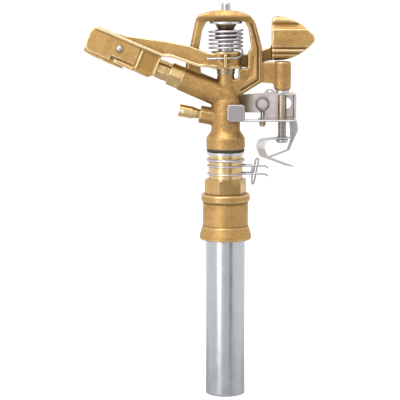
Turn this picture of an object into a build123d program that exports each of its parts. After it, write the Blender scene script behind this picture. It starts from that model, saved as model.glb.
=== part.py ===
from build123d import *
from math import atan, cos, radians, sin, sqrt, tan
import os

os.makedirs("parts", exist_ok=True)

# Part-circle impact sprinkler on a riser pipe, in millimetres, +Z up.
# The origin is the centre of the pipe's lower end. The barrel points to -X.

# Pipe and coupling
pipe_radius = 13.45
pipe_wall = 2.6
pipe_length = 119.7
thread_radius = 13.2
thread_length = 11.0
thread_clearance = 0.05
coupling_length = 31.4
coupling_radius = 15.5
coupling_lip = 2.3
coupling_rim = 1.2
waist_radius = 11.8
end_gap = 0.3

# Bearing nipple and swivel
nipple_thread_radius = 12.4
nipple_thread_length = 12.0
hex_across_flats = 25.4
hex_height = 10.3
hex_turn = 13.0
sleeve_radius = 11.6
sleeve_length = 16.6
tube_radius = 8.5
tube_bore_radius = 6.5
running_clearance = 0.05
seat_clearance = 0.02
swivel_gap = 0.3
flange_radius = 11.3
flange_height = 2.5
seal_radius = 11.2
seal_steel_height = 0.8
seal_rubber_height = 1.9
thrust_washer_radius = 12.75
thrust_washer_height = 2.1
dust_washer_radius = 12.95
dust_washer_height = 1.3

# Wires on the sleeve
clip_wire = 1.3
snap_wire = 1.8
flare_radius = 2.5
wire_bend = 1.4

# Head casting, heights counted from the barrel root
skirt_drop = 35.8
skirt_radius = 13.2
skirt_cavity_radius = 11.2
skirt_cavity_height = 9.3
neck_radius = 9.8
tube_end_height = -16.5
chamber_end_height = -2.5
jet_angle = 23.0
barrel_root_radius = 8.8
barrel_end_radius = 8.5
barrel_length = 33.0
barrel_bore_radius = 5.0
nozzle_seat_radius = 6.6
nozzle_seat_depth = 11.0
nozzle_reach = 18.5
tower_height = 15.5
tower_root_radius = 6.6
tower_top_radius = 5.7
bridge_low = 51.2
bridge_high = 58.9
bridge_half_depth = 4.4
bridge_ease = 1.2
groove_inset = 2.0
groove_width = 1.5
groove_depth = 1.3
pocket_depth = 0.5
crown_half_depth = 5.7
crown_shoulder = 54.8
spreader_angle = 10.8
spreader_root_height = -15.1
spreader_boss_reach = 20.0
spreader_boss_drop = 1.9
spreader_reach = 12.5

# Arm pivot
fulcrum_radius = 3.0
fulcrum_depth = 8.0
fulcrum_head_radius = 3.15
fulcrum_head_height = 5.0
pivot_washer_height = 1.6
bush_radius = 5.4
bush_flange_height = 2.1
hub_radius = 10.2
hub_height = 11.5
hub_flange = 0.8
bush_top_above_hub = 6.9
spring_disc_height = 1.5
collar_height = 4.2

# Rivet of the drive spoon and rim of the arm, placed along and across the jet
rivet_along = 79.0
rivet_across = 2.6
rivet_hole = 1.6
rim_low = 8.8
rim_thickness = 2.1
wall_front = -10.2

# Arm spring
spring_wire = 1.4
spring_radius = 11.3
spring_turns = 5
spring_pitch = 2.7
tail_height = 26.8
tail_end = -12.0

# Trip pin, bracket and lever
trip_x = 38.4
trip_pin_radius = 3.0
trip_boss_radius = 5.9
trip_boss_low = 4.5
trip_boss_high = 24.0
trip_pin_top = 19.5
foot_height = 2.5
foot_radius = 4.35
sheet = 1.2
bracket_low = -16.0
bracket_high = 2.6
bracket_front = -12.0
bracket_back = 8.7
bracket_end = 47.9
toggle_wire_size = 1.2
lever_yaw = 40.0
lever_width = 8.0
crook_sheet = 1.0
strap_sheet = 0.8
eye_height = -28.0

# Heights that follow from the sizes above
coupling_base = pipe_length - thread_length
coupling_top = coupling_base + coupling_length
nipple_base = coupling_top - nipple_thread_length
hex_top = coupling_top + hex_height
sleeve_top = hex_top + sleeve_length
thrust_top = sleeve_top + thrust_washer_height
dust_base = thrust_top + swivel_gap
skirt_base = dust_base + dust_washer_height
root_z = skirt_base + skirt_drop
seal_low = nipple_base - 2 * seal_steel_height - seal_rubber_height
flange_top = seal_low - swivel_gap
hub_low = tower_height + pivot_washer_height + swivel_gap + bush_flange_height
hub_high = hub_low + hub_height
bush_top = hub_high + bush_top_above_hub
disc_low = bridge_low - spring_disc_height
collar_low = disc_low - collar_height
sleeve_low = bush_top + swivel_gap

# Directions and drawing planes of the head
jet_axis = Vector(-cos(radians(jet_angle)), 0, sin(radians(jet_angle)))
jet_plane = Plane(origin=(0, 0, 0), x_dir=jet_axis, z_dir=(0, 1, 0))
barrel_plane = Plane(origin=(0, 0, 0), x_dir=(0, 1, 0), z_dir=jet_axis)
spreader_axis = Vector(-cos(radians(spreader_angle)), 0, sin(radians(spreader_angle)))
spreader_plane = Plane(origin=(0, 0, spreader_root_height), x_dir=(0, 1, 0), z_dir=spreader_axis)


def rod(radius, low, high):
    """Upright cylinder between two heights."""
    return Pos(0, 0, (low + high) / 2) * Cylinder(radius, high - low)


def ring(outer, inner, low, high):
    """Upright tube between two heights."""
    return rod(outer, low, high) - rod(inner, low, high)


def taper(low_radius, high_radius, low, high):
    """Upright cone between two heights."""
    return Pos(0, 0, (low + high) / 2) * Cone(low_radius, high_radius, high - low)


def polygon(*points):
    """Face with straight sides."""
    return make_face(Polyline(*points, close=True))


def soft_polygon(radius, *points):
    """Face with every corner rounded."""
    return make_face(FilletPolyline(*points, radius=radius, close=True))


def turned(*points):
    """Solid of revolution of an outline of (radius, height) points."""
    return revolve(Plane.XZ * polygon(*points), Axis.Z)


def plate(face, front, back):
    """Face drawn in X and Z, as a plate between two Y values."""
    return extrude(Plane.XZ.offset(-back) * face, back - front)


def jet_plate(face, front, back):
    """Face drawn along and across the jet, as a plate between two Y values."""
    return extrude(jet_plane.offset(front) * face, back - front)


def jet_point(along, across):
    """Place in X and height of a point along and across the jet."""
    sine = sin(radians(jet_angle))
    cosine = cos(radians(jet_angle))
    return across * sine - along * cosine, along * sine + across * cosine


def slab(face, low, high):
    """Face drawn in X and Y, as a slab between two heights."""
    return extrude(Pos(0, 0, low) * face, high - low)


def bend(start, corner, end):
    """Arc from start to end that is tangent to both legs of the corner."""
    middle = (start + end) * 0.5
    rise = corner - middle
    half = (end - start).length / 2
    if rise.length < 1e-6:
        return Edge.make_line(start, end)
    sagitta = half * tan(atan(rise.length / half) / 2)
    return Edge.make_three_point_arc(start, middle + rise.normalized() * sagitta, end)


def bent_route(points, radii):
    """Straight legs through the points with one bend radius for each inner corner."""
    points = [Vector(*point) for point in points]
    edges = []
    at = points[0]
    for before, corner, after, radius in zip(points, points[1:], points[2:], radii):
        inward = (corner - before).normalized()
        outward = (after - corner).normalized()
        setback = radius * tan(radians(inward.get_angle(outward)) / 2)
        edges.append(Edge.make_line(at, corner - inward * setback))
        edges.append(bend(corner - inward * setback, corner, corner + outward * setback))
        at = corner + outward * setback
    edges.append(Edge.make_line(at, points[-1]))
    return edges


def biarc(start, start_way, end, end_way):
    """Two arcs that leave start along one direction and reach end along another."""
    chord = end - start
    along = chord.dot(start_way + end_way)
    turn = 2 * (1 - start_way.dot(end_way))
    if turn < 1e-9:
        leg = chord.dot(chord) / (2 * along)
    else:
        leg = (sqrt(along ** 2 + turn * chord.dot(chord)) - along) / turn
    first = start + start_way * leg
    last = end - end_way * leg
    joint = (first + last) * 0.5
    return [bend(start, first, joint), bend(joint, last, end)]


def coil(stations, radius, direction):
    """Edges round the Z axis through (angle, height, climb per radius) stations."""
    places = []
    for angle, height, climb in stations:
        across = Vector(cos(radians(angle)), sin(radians(angle)), 0)
        way = Vector(-across.Y, across.X, 0) * direction + Vector(0, 0, climb)
        places.append((across * radius + Vector(0, 0, height), way.normalized()))
    edges = []
    for (start, start_way), (end, end_way) in zip(places, places[1:]):
        edges += biarc(start, start_way, end, end_way)
    return edges, places


def flare(ring_radius, offset, radius):
    """Tail point, arc middle and ring point of a tail beside a ring, as (along, across)."""
    reach = ring_radius + radius
    across = offset + radius
    along = sqrt(reach ** 2 - across ** 2)
    blend = Vector(-along / reach, -1 - across / reach).normalized() * radius
    share = ring_radius / reach
    return (along, offset), (along + blend.X, across + blend.Y), (along * share, across * share)


def least_gap(path, diameter):
    """Smallest space between stretches of one wire that are apart along its length."""
    count = 500
    points = [path @ (step / count) for step in range(count + 1)]
    apart = int(3 * diameter / path.length * count) + 1
    return min(
        (points[one] - points[two]).length - diameter
        for one in range(count + 1)
        for two in range(one + apart, count + 1)
    )


def round_wire(name, edges, diameter):
    """Round wire along the edges; prints its least gap to itself."""
    path = Wire(edges)
    print(name, "least gap", round(least_gap(path, diameter), 2))
    return sweep(Plane(origin=path @ 0, z_dir=path % 0) * Circle(diameter / 2), path=path)


def save(name, shape, lift=0.0):
    """Write one solid as one node."""
    solids = (Pos(0, 0, lift) * shape).solids()
    if len(solids) != 1:
        print(name, "has", len(solids), "solids")
    solid = max(solids, key=lambda item: item.volume)
    solid.label = name
    export_step(solid, f"parts/{name}.step")


# Riser pipe, threaded at its top end
save("riser_pipe", turned(
    (pipe_radius - pipe_wall, 0),
    (pipe_radius, 0),
    (pipe_radius, coupling_base - end_gap),
    (thread_radius, coupling_base - end_gap),
    (thread_radius, pipe_length),
    (pipe_radius - pipe_wall, pipe_length),
))

# Socket coupling with a flared lip below and a bead above
socket_radius = thread_radius + thread_clearance
upper_socket_radius = nipple_thread_radius + thread_clearance
lip_radius = coupling_radius + coupling_lip
rim_radius = coupling_radius + coupling_rim
save("pipe_coupling", turned(
    (socket_radius, coupling_base),
    (lip_radius - 0.5, coupling_base),
    (lip_radius, coupling_base + 0.6),
    (lip_radius - 0.2, coupling_base + 3.4),
    (coupling_radius + 1.3, coupling_base + 5.9),
    (coupling_radius + 0.6, coupling_base + 8.7),
    (coupling_radius, coupling_base + 9.3),
    (coupling_radius, coupling_top - 5.7),
    (rim_radius, coupling_top - 4.5),
    (rim_radius, coupling_top - 0.7),
    (rim_radius - 0.6, coupling_top),
    (upper_socket_radius, coupling_top),
    (upper_socket_radius, nipple_base),
    (waist_radius, nipple_base),
    (waist_radius, pipe_length + end_gap),
    (socket_radius, pipe_length + end_gap),
))

# Bearing nipple: thread, hexagon with eased corners, sleeve
hex_corner = hex_across_flats / 2 / cos(radians(30))
hexagon = slab(RegularPolygon(hex_corner, 6, rotation=hex_turn), coupling_top, hex_top)
hexagon &= turned(
    (0, coupling_top),
    (hex_corner - 0.9, coupling_top),
    (hex_corner, coupling_top + 0.6),
    (hex_corner, hex_top - 0.6),
    (hex_corner - 0.9, hex_top),
    (0, hex_top),
)
nipple = hexagon + rod(nipple_thread_radius, nipple_base, coupling_top) + turned(
    (0, coupling_top),
    (sleeve_radius, coupling_top),
    (sleeve_radius, sleeve_top - 0.4),
    (sleeve_radius - 0.4, sleeve_top),
    (0, sleeve_top),
)
save("bearing_nipple", nipple - rod(tube_radius + running_clearance, nipple_base, sleeve_top))

# Seals under the nipple, thrust washer on the sleeve
seal_bore = tube_radius + swivel_gap
rubber_low = seal_low + seal_steel_height
rubber_high = rubber_low + seal_rubber_height
save("seal_washer_lower", ring(seal_radius, seal_bore, seal_low, rubber_low))
save("seal_washer_rubber", ring(seal_radius, seal_bore, rubber_low, rubber_high))
save("seal_washer_upper", ring(seal_radius, seal_bore, rubber_high, nipple_base))
save("thrust_washer", ring(thrust_washer_radius, seal_bore, sleeve_top, thrust_top))

# Snap ring round the sleeve, open at the back
snap_radius = sleeve_radius + running_clearance + snap_wire / 2
snap_z = hex_top + 13.1
snap_arc = CenterArc((0, 0, snap_z), snap_radius, 100, 340)
save("snap_ring", round_wire("snap_ring", [snap_arc.edge()], snap_wire))

# Stop clip: one wire, two bands, a hairpin between them and two hooked tails
band_radius = sleeve_radius + seat_clearance + 0.01 + clip_wire / 2
upper_band = hex_top + 9.1
lower_band = hex_top + 3.5
tail_side = 3.0
hairpin_side = 4.8


def clip_flare(side, offset, height):
    """Tail point, arc middle and ring point on one side of the clip."""
    places = flare(band_radius, offset, flare_radius)
    return [Vector(along, side * across, height) for along, across in places]


def clip_band(front_offset, back_offset, height):
    """Edges from the front tail point round the sleeve to the back tail point."""
    front_tail, front_middle, front_ring = clip_flare(-1, front_offset, height)
    back_tail, back_middle, back_ring = clip_flare(1, back_offset, height)
    left = Vector(-band_radius, 0, height)
    front = Vector(0, -band_radius, height)
    back = Vector(0, band_radius, height)
    edges = [
        Edge.make_three_point_arc(front_tail, front_middle, front_ring),
        Edge.make_three_point_arc(front_ring, front, left),
        Edge.make_three_point_arc(left, back, back_ring),
        Edge.make_three_point_arc(back_ring, back_middle, back_tail),
    ]
    return edges, front_tail, back_tail


def hooked_tail(tail_point):
    """Points of a tail from its hooked end to the band."""
    return [
        (28.9, tail_point.Y, tail_point.Z - 1.6),
        (27.0, tail_point.Y, tail_point.Z),
        (tail_point.X, tail_point.Y, tail_point.Z),
    ]


upper_edges, upper_tail, upper_back = clip_band(tail_side, tail_side, upper_band)
lower_edges, lower_tail, lower_back = clip_band(tail_side, hairpin_side, lower_band)
hairpin = [
    (upper_back.X, upper_back.Y, upper_band),
    (18.3, upper_back.Y, upper_band),
    (18.3, upper_back.Y, hex_top - 4.3),
    (19.6, 6.0, hex_top - 4.3),
    (23.2, 8.0, hex_top + 13.0),
    (20.9, 6.0, hex_top + 13.0),
    (19.4, lower_back.Y, lower_band),
    (lower_back.X, lower_back.Y, lower_band),
]


def reverse_edges(edges):
    """The same edges walked the other way."""
    turned_edges = []
    for edge in reversed(edges):
        turned_edges.append(
            Edge.make_three_point_arc(edge @ 1, edge @ 0.5, edge @ 0)
            if edge.geom_type == GeomType.CIRCLE
            else Edge.make_line(edge @ 1, edge @ 0)
        )
    return turned_edges


clip_edges = bent_route(hooked_tail(upper_tail), [wire_bend])
clip_edges += upper_edges
clip_edges += bent_route(hairpin, [wire_bend] * 6)
clip_edges += reverse_edges(lower_edges)
clip_edges += reverse_edges(bent_route(hooked_tail(lower_tail), [wire_bend]))
save("arc_stop_clip", round_wire("arc_stop_clip", clip_edges, clip_wire))

# Sprinkler body, drawn from the barrel root and lifted into place
skirt_low = -skirt_drop
skirt_points = [
    (0, skirt_low),
    (skirt_radius, skirt_low),
    (skirt_radius, skirt_low + 7.8),
    (neck_radius, skirt_low + 12.8),
    (neck_radius, -5.5),
    (0, -5.5),
]
skirt_edges = bent_route(skirt_points, [1.2, 3.0, 4.0, 1.0])
skirt_edges.append(Edge.make_line((0, -5.5), (0, skirt_low)))
body = revolve(Plane.XZ * make_face(skirt_edges), Axis.Z)
body += Pos(0, 0, -5.5) * Sphere(neck_radius)
body += Sphere(barrel_root_radius)
body += barrel_plane * taper(barrel_root_radius, barrel_end_radius, 0, barrel_length)
body += taper(tower_root_radius, tower_top_radius, 0, tower_height)

# Bridge: plate with a window and eased edges
bridge_outline = soft_polygon(
    2.2,
    (-27.5, 12.0),
    (-27.8, 19.5),
    (-24.5, 33.5),
    (-21.5, 48.0),
    (-20.4, 52.6),
    (-18.0, bridge_high - 3.5),
    (-13.5, bridge_high - 1.8),
    (-6.5, bridge_high - 0.4),
    (0, bridge_high),
    (6.5, bridge_high - 0.7),
    (13.0, bridge_high - 2.3),
    (17.0, bridge_high - 4.4),
    (19.6, 51.0),
    (20.8, 47.5),
    (24.5, 33.5),
    (24.5, 10.1),
    (5.0, -2.1),
    (-4.0, 2.0),
)
window_right = 14.9
window_foot = hub_low - 0.35
bridge_window = soft_polygon(
    1.6,
    (-16.3, 9.0),
    (-18.0, 33.5),
    (-16.1, 45.0),
    (-13.2, bridge_low),
    (12.8, bridge_low),
    (15.4, 45.6),
    (17.2, 33.8),
    (16.7, 31.8),
    (window_right, 30.4),
    (window_right, window_foot),
    (8.6, window_foot),
    (8.6, 12.1),
    (2.0, 12.1),
    (-3.0, 8.5),
)
ease_depth = bridge_half_depth - bridge_ease
bridge = plate(bridge_outline, -ease_depth, ease_depth)
bridge += plate(offset(bridge_outline, -bridge_ease), -bridge_half_depth, bridge_half_depth)

# Domed crown over the spring, as thick as the legs at its foot
crown_end = make_face([
    Line((-bridge_half_depth, bridge_low), (bridge_half_depth, bridge_low)),
    Line((bridge_half_depth, bridge_low), (crown_half_depth, crown_shoulder)),
    ThreePointArc((crown_half_depth, crown_shoulder), (0, bridge_high), (-crown_half_depth, crown_shoulder)),
    Line((-crown_half_depth, crown_shoulder), (-bridge_half_depth, bridge_low)),
])
bridge += plate(bridge_outline, -20, 20) & extrude(Plane.YZ.offset(-19) * crown_end, 37)
bridge -= plate(bridge_window, -20, 20)

# Groove down the right leg and shallow pocket beside it, on both faces
groove_line = offset(bridge_outline, -groove_inset) - offset(bridge_outline, -groove_inset - groove_width)
groove = groove_line & Pos(50, 0) * Rectangle(80, 100)
pocket = soft_polygon(0.8, (12.4, 10.0), (19.6, 14.4), (19.6, 27.6), (17.6, 27.6), (17.0, 19.5))
for face, depth in ((groove, groove_depth), (pocket, pocket_depth)):
    bridge -= plate(face, -20, depth - bridge_half_depth)
    bridge -= plate(face, bridge_half_depth - depth, 20)
body += bridge

# Trip boss, its web to the bridge, the lug of the bracket and the spreader boss
boss = turned(
    (0, trip_boss_low),
    (trip_boss_radius - 1.0, trip_boss_low),
    (trip_boss_radius, trip_boss_low + 1.6),
    (trip_boss_radius, trip_boss_high - 0.6),
    (trip_boss_radius - 0.6, trip_boss_high),
    (0, trip_boss_high),
)
body += Pos(trip_x, 0, 0) * boss
web_high = trip_boss_high - 0.4
body += plate(polygon((22, 10.1), (22, web_high), (trip_x - 2, web_high), (trip_x - 2, 8.5)), -2.5, 2.5)
lug_low = bracket_low + sheet
lug_front = bracket_front + sheet
lug_back = bracket_back - sheet
lug = soft_polygon(1.0, (1.6, lug_front), (13, lug_front), (13, lug_back), (1.6, lug_back))
body += slab(lug, lug_low, -5.5)
octagon = RegularPolygon(5.8 / cos(radians(22.5)), 8, rotation=22.5)
body += Pos(0, 0, -spreader_boss_drop) * spreader_plane * slab(octagon, 4, spreader_boss_reach)

# Water ways, pin holes and room for the nozzle's hexagon before the bridge foot
nozzle_corner = 8.9
nozzle_hex_length = 8.5
fulcrum_hole = fulcrum_radius + seat_clearance
body -= barrel_plane * rod(nozzle_corner + swivel_gap, barrel_length, barrel_length + nozzle_hex_length + 1)
body -= rod(skirt_cavity_radius, skirt_low, skirt_low + skirt_cavity_height)
body -= rod(tube_radius + seat_clearance, skirt_low, tube_end_height)
body -= rod(tube_bore_radius, tube_end_height - 1, chamber_end_height)
body -= barrel_plane * rod(barrel_bore_radius, 0, barrel_length)
body -= barrel_plane * rod(nozzle_seat_radius, barrel_length - nozzle_seat_depth, barrel_length + 1)
body -= rod(fulcrum_hole, tower_height - fulcrum_depth, tower_height + 1)
body -= rod(fulcrum_hole, bridge_low - 1, bridge_high + 1)
body -= Pos(trip_x, 0, 0) * rod(trip_pin_radius + seat_clearance, trip_boss_low - 1, trip_pin_top)
body -= spreader_plane * rod(2.2, 3, spreader_boss_reach)
body -= spreader_plane * rod(3.2 + seat_clearance, 12, spreader_boss_reach + 1)
save("sprinkler_body", body, root_z)

# Bearing tube, spring and dust washer
tube = rod(tube_radius, flange_top - flange_height, root_z + tube_end_height)
tube += rod(flange_radius, flange_top - flange_height, flange_top)
save("bearing_tube", tube - rod(tube_bore_radius, 0, root_z))
save("dust_washer", ring(dust_washer_radius, tube_radius + running_clearance, dust_base, skirt_base))

bearing_wire = 1.2
bearing_mean = (tube_radius + skirt_cavity_radius) / 2
bearing_low = skirt_base + bearing_wire / 2
bearing_rise = skirt_cavity_height - bearing_wire - 0.1
bearing_halves = 6
bearing_climb = bearing_rise / (bearing_halves * 180) * 180 / 3.14159265 / bearing_mean
bearing_stations = [
    (180 * step, bearing_low + bearing_rise * step / bearing_halves, bearing_climb)
    for step in range(bearing_halves + 1)
]
bearing_edges, bearing_places = coil(bearing_stations, bearing_mean, 1)
save("bearing_spring", round_wire("bearing_spring", bearing_edges, bearing_wire))

# Range nozzle in the barrel: shank, hexagon and tapered tip
seat_start = barrel_length - nozzle_seat_depth + 0.5
nozzle_end = barrel_length + nozzle_reach
nozzle = rod(nozzle_seat_radius - seat_clearance, seat_start, barrel_length)
nozzle_hex_end = barrel_length + nozzle_hex_length
nozzle += slab(RegularPolygon(nozzle_corner, 6, rotation=0), barrel_length, nozzle_hex_end)
nozzle += rod(6.5, nozzle_hex_end - 0.5, nozzle_hex_end + 3.5)
nozzle += taper(6.9, 6.4, nozzle_hex_end + 3, nozzle_end)
nozzle -= taper(4.6, 3.0, seat_start, nozzle_end - 4)
nozzle -= rod(3.0, nozzle_end - 4.1, nozzle_end)
save("range_nozzle", barrel_plane * nozzle, root_z)

# Spreader nozzle with a slot across its tip
spreader_end = spreader_boss_reach + spreader_reach
spreader = rod(3.2, 12.2, spreader_boss_reach)
spreader += rod(3.7, spreader_boss_reach, spreader_boss_reach + 1.8)
spreader += taper(3.4, 4.25, spreader_boss_reach + 1.2, spreader_boss_reach + 3.2)
spreader += rod(4.25, spreader_boss_reach + 3.2, spreader_end)
spreader -= rod(1.8, 12, spreader_end - 3)
spreader -= Pos(0, 0, spreader_end - 1.6) * Box(9, 1.6, 3.2)
save("spreader_nozzle", spreader_plane * spreader, root_z)

# Fulcrum pin and the turned pieces on it
pin_low = tower_height - fulcrum_depth
pin_high = bridge_high + fulcrum_head_height
pin = turned(
    (0, pin_low),
    (fulcrum_radius, pin_low),
    (fulcrum_radius, bridge_high),
    (fulcrum_head_radius, bridge_high),
    (fulcrum_head_radius, pin_high - 0.8),
    (fulcrum_head_radius - 0.9, pin_high),
    (0, pin_high),
)
save("fulcrum_pin", pin, root_z)
washer_high = tower_height + pivot_washer_height
save("pivot_washer", ring(tower_top_radius + 0.5, fulcrum_hole, tower_height, washer_high), root_z)
save("spring_disc", ring(11.0, fulcrum_hole, disc_low, bridge_low), root_z)
collar = taper(5.3, 7.8, collar_low, disc_low) - rod(fulcrum_hole, collar_low, disc_low)
save("pivot_collar", collar, root_z)
save("pivot_sleeve", ring(7.4, fulcrum_hole, sleeve_low, collar_low), root_z)

# Impact arm: hub with a cup, beam, spoon wall, limb and counterweight in one casting
arm = rod(hub_radius, hub_low, hub_high) + rod(hub_radius + hub_flange, hub_low, hub_low + 2.2)
beam = polygon(
    (-84.0, 43.8),
    (-80.0, 43.5),
    (-73.0, 42.8),
    (-51.4, 39.7),
    (-41.2, 38.4),
    (-24.3, 35.0),
    (-12.8, hub_high - 0.6),
    (-5.0, hub_high - 1.5),
    (-5.0, hub_low + 1.0),
    (-16.8, 22.5),
    (-35.0, 28.2),
    (-42.0, 28.7),
    (-60.0, 36.4),
)
arm += plate(beam, -8.4, -5.4)

# Rim that runs from the spoon's end along the wall and the beam to the hub
block_end = rivet_along + 22.5
rim_middle = rim_low + rim_thickness / 2
rim_line = FilletPolyline(
    jet_point(block_end - 2.4, rim_middle),
    jet_point(50.4, rim_middle),
    (-35.8, 28.2),
    (-18.5, 22.1),
    (-3.0, hub_low + 1.4),
    radius=2.5,
)
arm += plate(trace(rim_line, line_width=rim_thickness), -11.2, -5.1)

# The rim thins towards the hub, where it swings past the bridge
arm -= slab(polygon((-16, -11.2), (-9, -10.0), (4, -10.0), (4, -13), (-16, -13)), hub_low - 1, hub_low + 4)

# Spoon wall with a rounded end, a bottom ledge, a shallow panel, two grooves and a notch
panel_start = rivet_along - 13.2
panel_foot = -3.8
panel_line = 1.2
notch_start = rivet_along + 0.5
notch_end = notch_start + 2.7
block_start = notch_end + 0.3
block_middle = block_start + 9
wall = polygon(
    (54.4, -7.9), (50.4, -4.8), (50.8, rim_middle), (block_middle, rim_middle), (block_middle, -7.0)
)
arm += jet_plate(wall, wall_front, -7.4)
block_tip = soft_polygon(
    4.5, (block_start, -7.2), (block_start, rim_middle), (block_end, rim_middle), (block_end, -6.8)
)
arm += jet_plate(block_tip, wall_front, -7.4)
ledge = polygon((panel_start, -7.9), (panel_start, -5.6), (notch_start, -5.0), (notch_start, -7.4))
arm += jet_plate(ledge, wall_front - 0.8, -7.4)
side_groove = polygon(
    (panel_start, panel_foot),
    (panel_start, rim_low - 0.6),
    (panel_start - panel_line, rim_low - 0.6),
    (panel_start - panel_line, panel_foot),
)
foot_groove = polygon(
    (panel_start - panel_line, panel_foot - panel_line),
    (panel_start - panel_line, panel_foot),
    (notch_end, panel_foot),
    (notch_end, panel_foot - panel_line),
)
for face in (side_groove, foot_groove):
    arm -= jet_plate(face, -12, wall_front + 0.8)
end_panel = soft_polygon(0.6, (51.3, -4.4), (51.5, 7.4), (panel_start - 2.7, 7.4), (panel_start - 2.7, -5.2))
arm -= jet_plate(end_panel, -12, wall_front + 0.5)
notch = polygon((notch_start, -12), (notch_start, panel_foot), (notch_end, panel_foot), (notch_end, -12))
arm -= jet_plate(notch, -12, -5)

# Limb behind the right bridge leg, and the counterweight with its cast ridges
limb = polygon(
    (2.0, hub_low),
    (2.0, hub_high - 2.4),
    (17.8, hub_high - 2.4),
    (24.0, 30.9),
    (33.0, 35.0),
    (33.0, 24.6),
    (30.0, 24.2),
    (25.0, 23.0),
    (15.0, hub_low),
)
arm += plate(limb, 5.1, 9.5)
weight_side = make_face([
    Line((31.3, 27.0), (31.3, 50.4)),
    ThreePointArc((31.3, 50.4), (32.3, 53.1), (35.0, 54.2)),
    ThreePointArc((35.0, 54.2), (47.5, 51.0), (57.4, 43.6)),
    ThreePointArc((57.4, 43.6), (60.3, 39.8), (58.4, 36.0)),
    ThreePointArc((58.4, 36.0), (50.5, 29.2), (39.0, 24.9)),
    Line((39.0, 24.9), (34.0, 24.5)),
    ThreePointArc((34.0, 24.5), (32.1, 25.2), (31.3, 27.0)),
])
weight_end = polygon(
    (11.0, 24.0),
    (2.5, 24.0),
    (-0.6, 26.2),
    (-1.4, 28.6),
    (0.2, 29.3),
    (-2.2, 30.2),
    (-2.6, 31.9),
    (-0.9, 32.9),
    (-3.0, 34.0),
    (-3.6, 40.0),
    (-3.2, 45.6),
    (1.0, 48.8),
    (-0.6, 50.6),
    (-0.9, 52.2),
    (0.2, 53.8),
    (2.5, 54.8),
    (11.0, 54.8),
)
arm += plate(weight_side, -10, 11) & extrude(Plane.YZ.offset(25) * weight_end, 40)

# Cup, front notches and spring lug of the hub
tail_place = -spring_radius
arm -= ring(hub_radius - 1.4, bush_radius + 1.6, hub_low + 4.0, hub_high + 1)
arm -= Pos(0, -hub_radius - 2, hub_low + 6.9) * Box(11.0, 6.0, 5.4)
arm += Pos(-0.4, (tail_place - hub_radius + 1.6) / 2 - 0.6, hub_low + 5.5) * Box(2.0, 4.2, 9.0)
arm -= Pos(0, tail_place, tail_height) * Rot(0, 90, 0) * Cylinder(spring_wire / 2 + 0.25, 8)
arm -= rod(bush_radius, hub_low - 1, hub_high + 1)
rivet_axis = jet_plane * Pos(rivet_along, rivet_across, 0)
arm -= rivet_axis * rod(rivet_hole, -12, -5)
save("impact_arm", arm, root_z)

# Arm bush with a flange under the hub
bush = rod(bush_radius - seat_clearance, hub_low, bush_top)
bush += rod(bush_radius + 1.0, hub_low - bush_flange_height, hub_low)
bush -= rod(fulcrum_radius + running_clearance, 0, bush_top)
save("arm_bush", bush, root_z)

# Drive spoon: a curved vane on the inner face of the spoon wall, held by a rivet
vane_plane = Plane(origin=(0, 0, 0), x_dir=jet_axis, z_dir=jet_axis.cross(Vector(0, 1, 0)))
vane_start = rivet_along - 7
vane_lip = block_end - 1
vane_points = [(vane_start, -6.4), (vane_lip - 12.5, -6.4), (vane_lip - 3, -0.5), (vane_lip, 6.5)]
vane_line = bent_route(vane_points, [8, 10])
vane = extrude(vane_plane.offset(-7.6) * trace(vane_line, line_width=2.0), rim_middle + 7.4)
rim_room_low = rim_low - 0.4
rim_room_start = vane_start - 1
rim_room_end = block_end - 8.5
rim_room = polygon(
    (rim_room_start, rim_room_low), (rim_room_start, 14), (rim_room_end, 14), (rim_room_end, rim_room_low)
)
vane -= jet_plate(rim_room, -12, -3)
vane -= rivet_axis * rod(rivet_hole, -12, -2)
save("drive_spoon", vane, root_z)
rivet = rod(rivet_hole - seat_clearance, wall_front, -5.4)
rivet += rod(2.6, -5.4, -4.6)
dome = Pos(0, 0, wall_front) * Sphere(2.6) & rod(3, wall_front - 2.7, wall_front)
rivet += dome
save("spoon_rivet", rivet_axis * rivet, root_z)

# Arm spring: coils, a ramp down the right front of the hub and a straight tail through the lug
coil_climb = -spring_pitch / (2 * 3.14159265 * spring_radius)
coil_end = tail_height + 5.2
coil_start = coil_end + spring_turns * spring_pitch
spring_stations = [
    (15 + 180 * step, coil_end + spring_pitch * step / 2, coil_climb)
    for step in range(2 * spring_turns, -1, -1)
]
tail_climb = -0.03
ramp_climb = -5.2 / (spring_radius * radians(75)) * 1.45
spring_stations += [
    (-22.5, tail_height + 2.6, ramp_climb),
    (-60, tail_height - 0.2, 0.02),
    (-90, tail_height, tail_climb),
]
spring_edges, spring_places = coil(spring_stations, spring_radius, -1)
top_point, top_way = spring_places[0]
spring_edges.insert(0, Edge.make_line(top_point - top_way * spring_wire, top_point))
tail_start, tail_way = spring_places[-1]
tail_tip = tail_start + tail_way * (tail_end / tail_way.X)
spring_edges.append(Edge.make_line(tail_start, tail_tip))
spring = round_wire("arm_spring", spring_edges, spring_wire)
spring += Pos(*tail_tip) * Sphere(spring_wire * 0.72)
save("arm_spring", spring, root_z)

# Trip pin, spacer washer and foot
foot_high = eye_height - crook_sheet / 2 - swivel_gap
foot_low = foot_high - foot_height
trip_hole = trip_pin_radius + seat_clearance
trip_place = Pos(trip_x, 0, 0)
save("trip_pin", trip_place * rod(trip_pin_radius, foot_low, trip_pin_top), root_z)
save("trip_pin_washer", trip_place * ring(4.7, trip_hole, bracket_high, trip_boss_low), root_z)
foot = turned(
    (trip_hole, foot_low),
    (foot_radius - 1.0, foot_low),
    (foot_radius, foot_low + 1.0),
    (foot_radius, foot_high - 0.5),
    (foot_radius - 0.5, foot_high),
    (trip_hole, foot_high),
)
save("trip_pin_foot", trip_place * foot, root_z)

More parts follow.
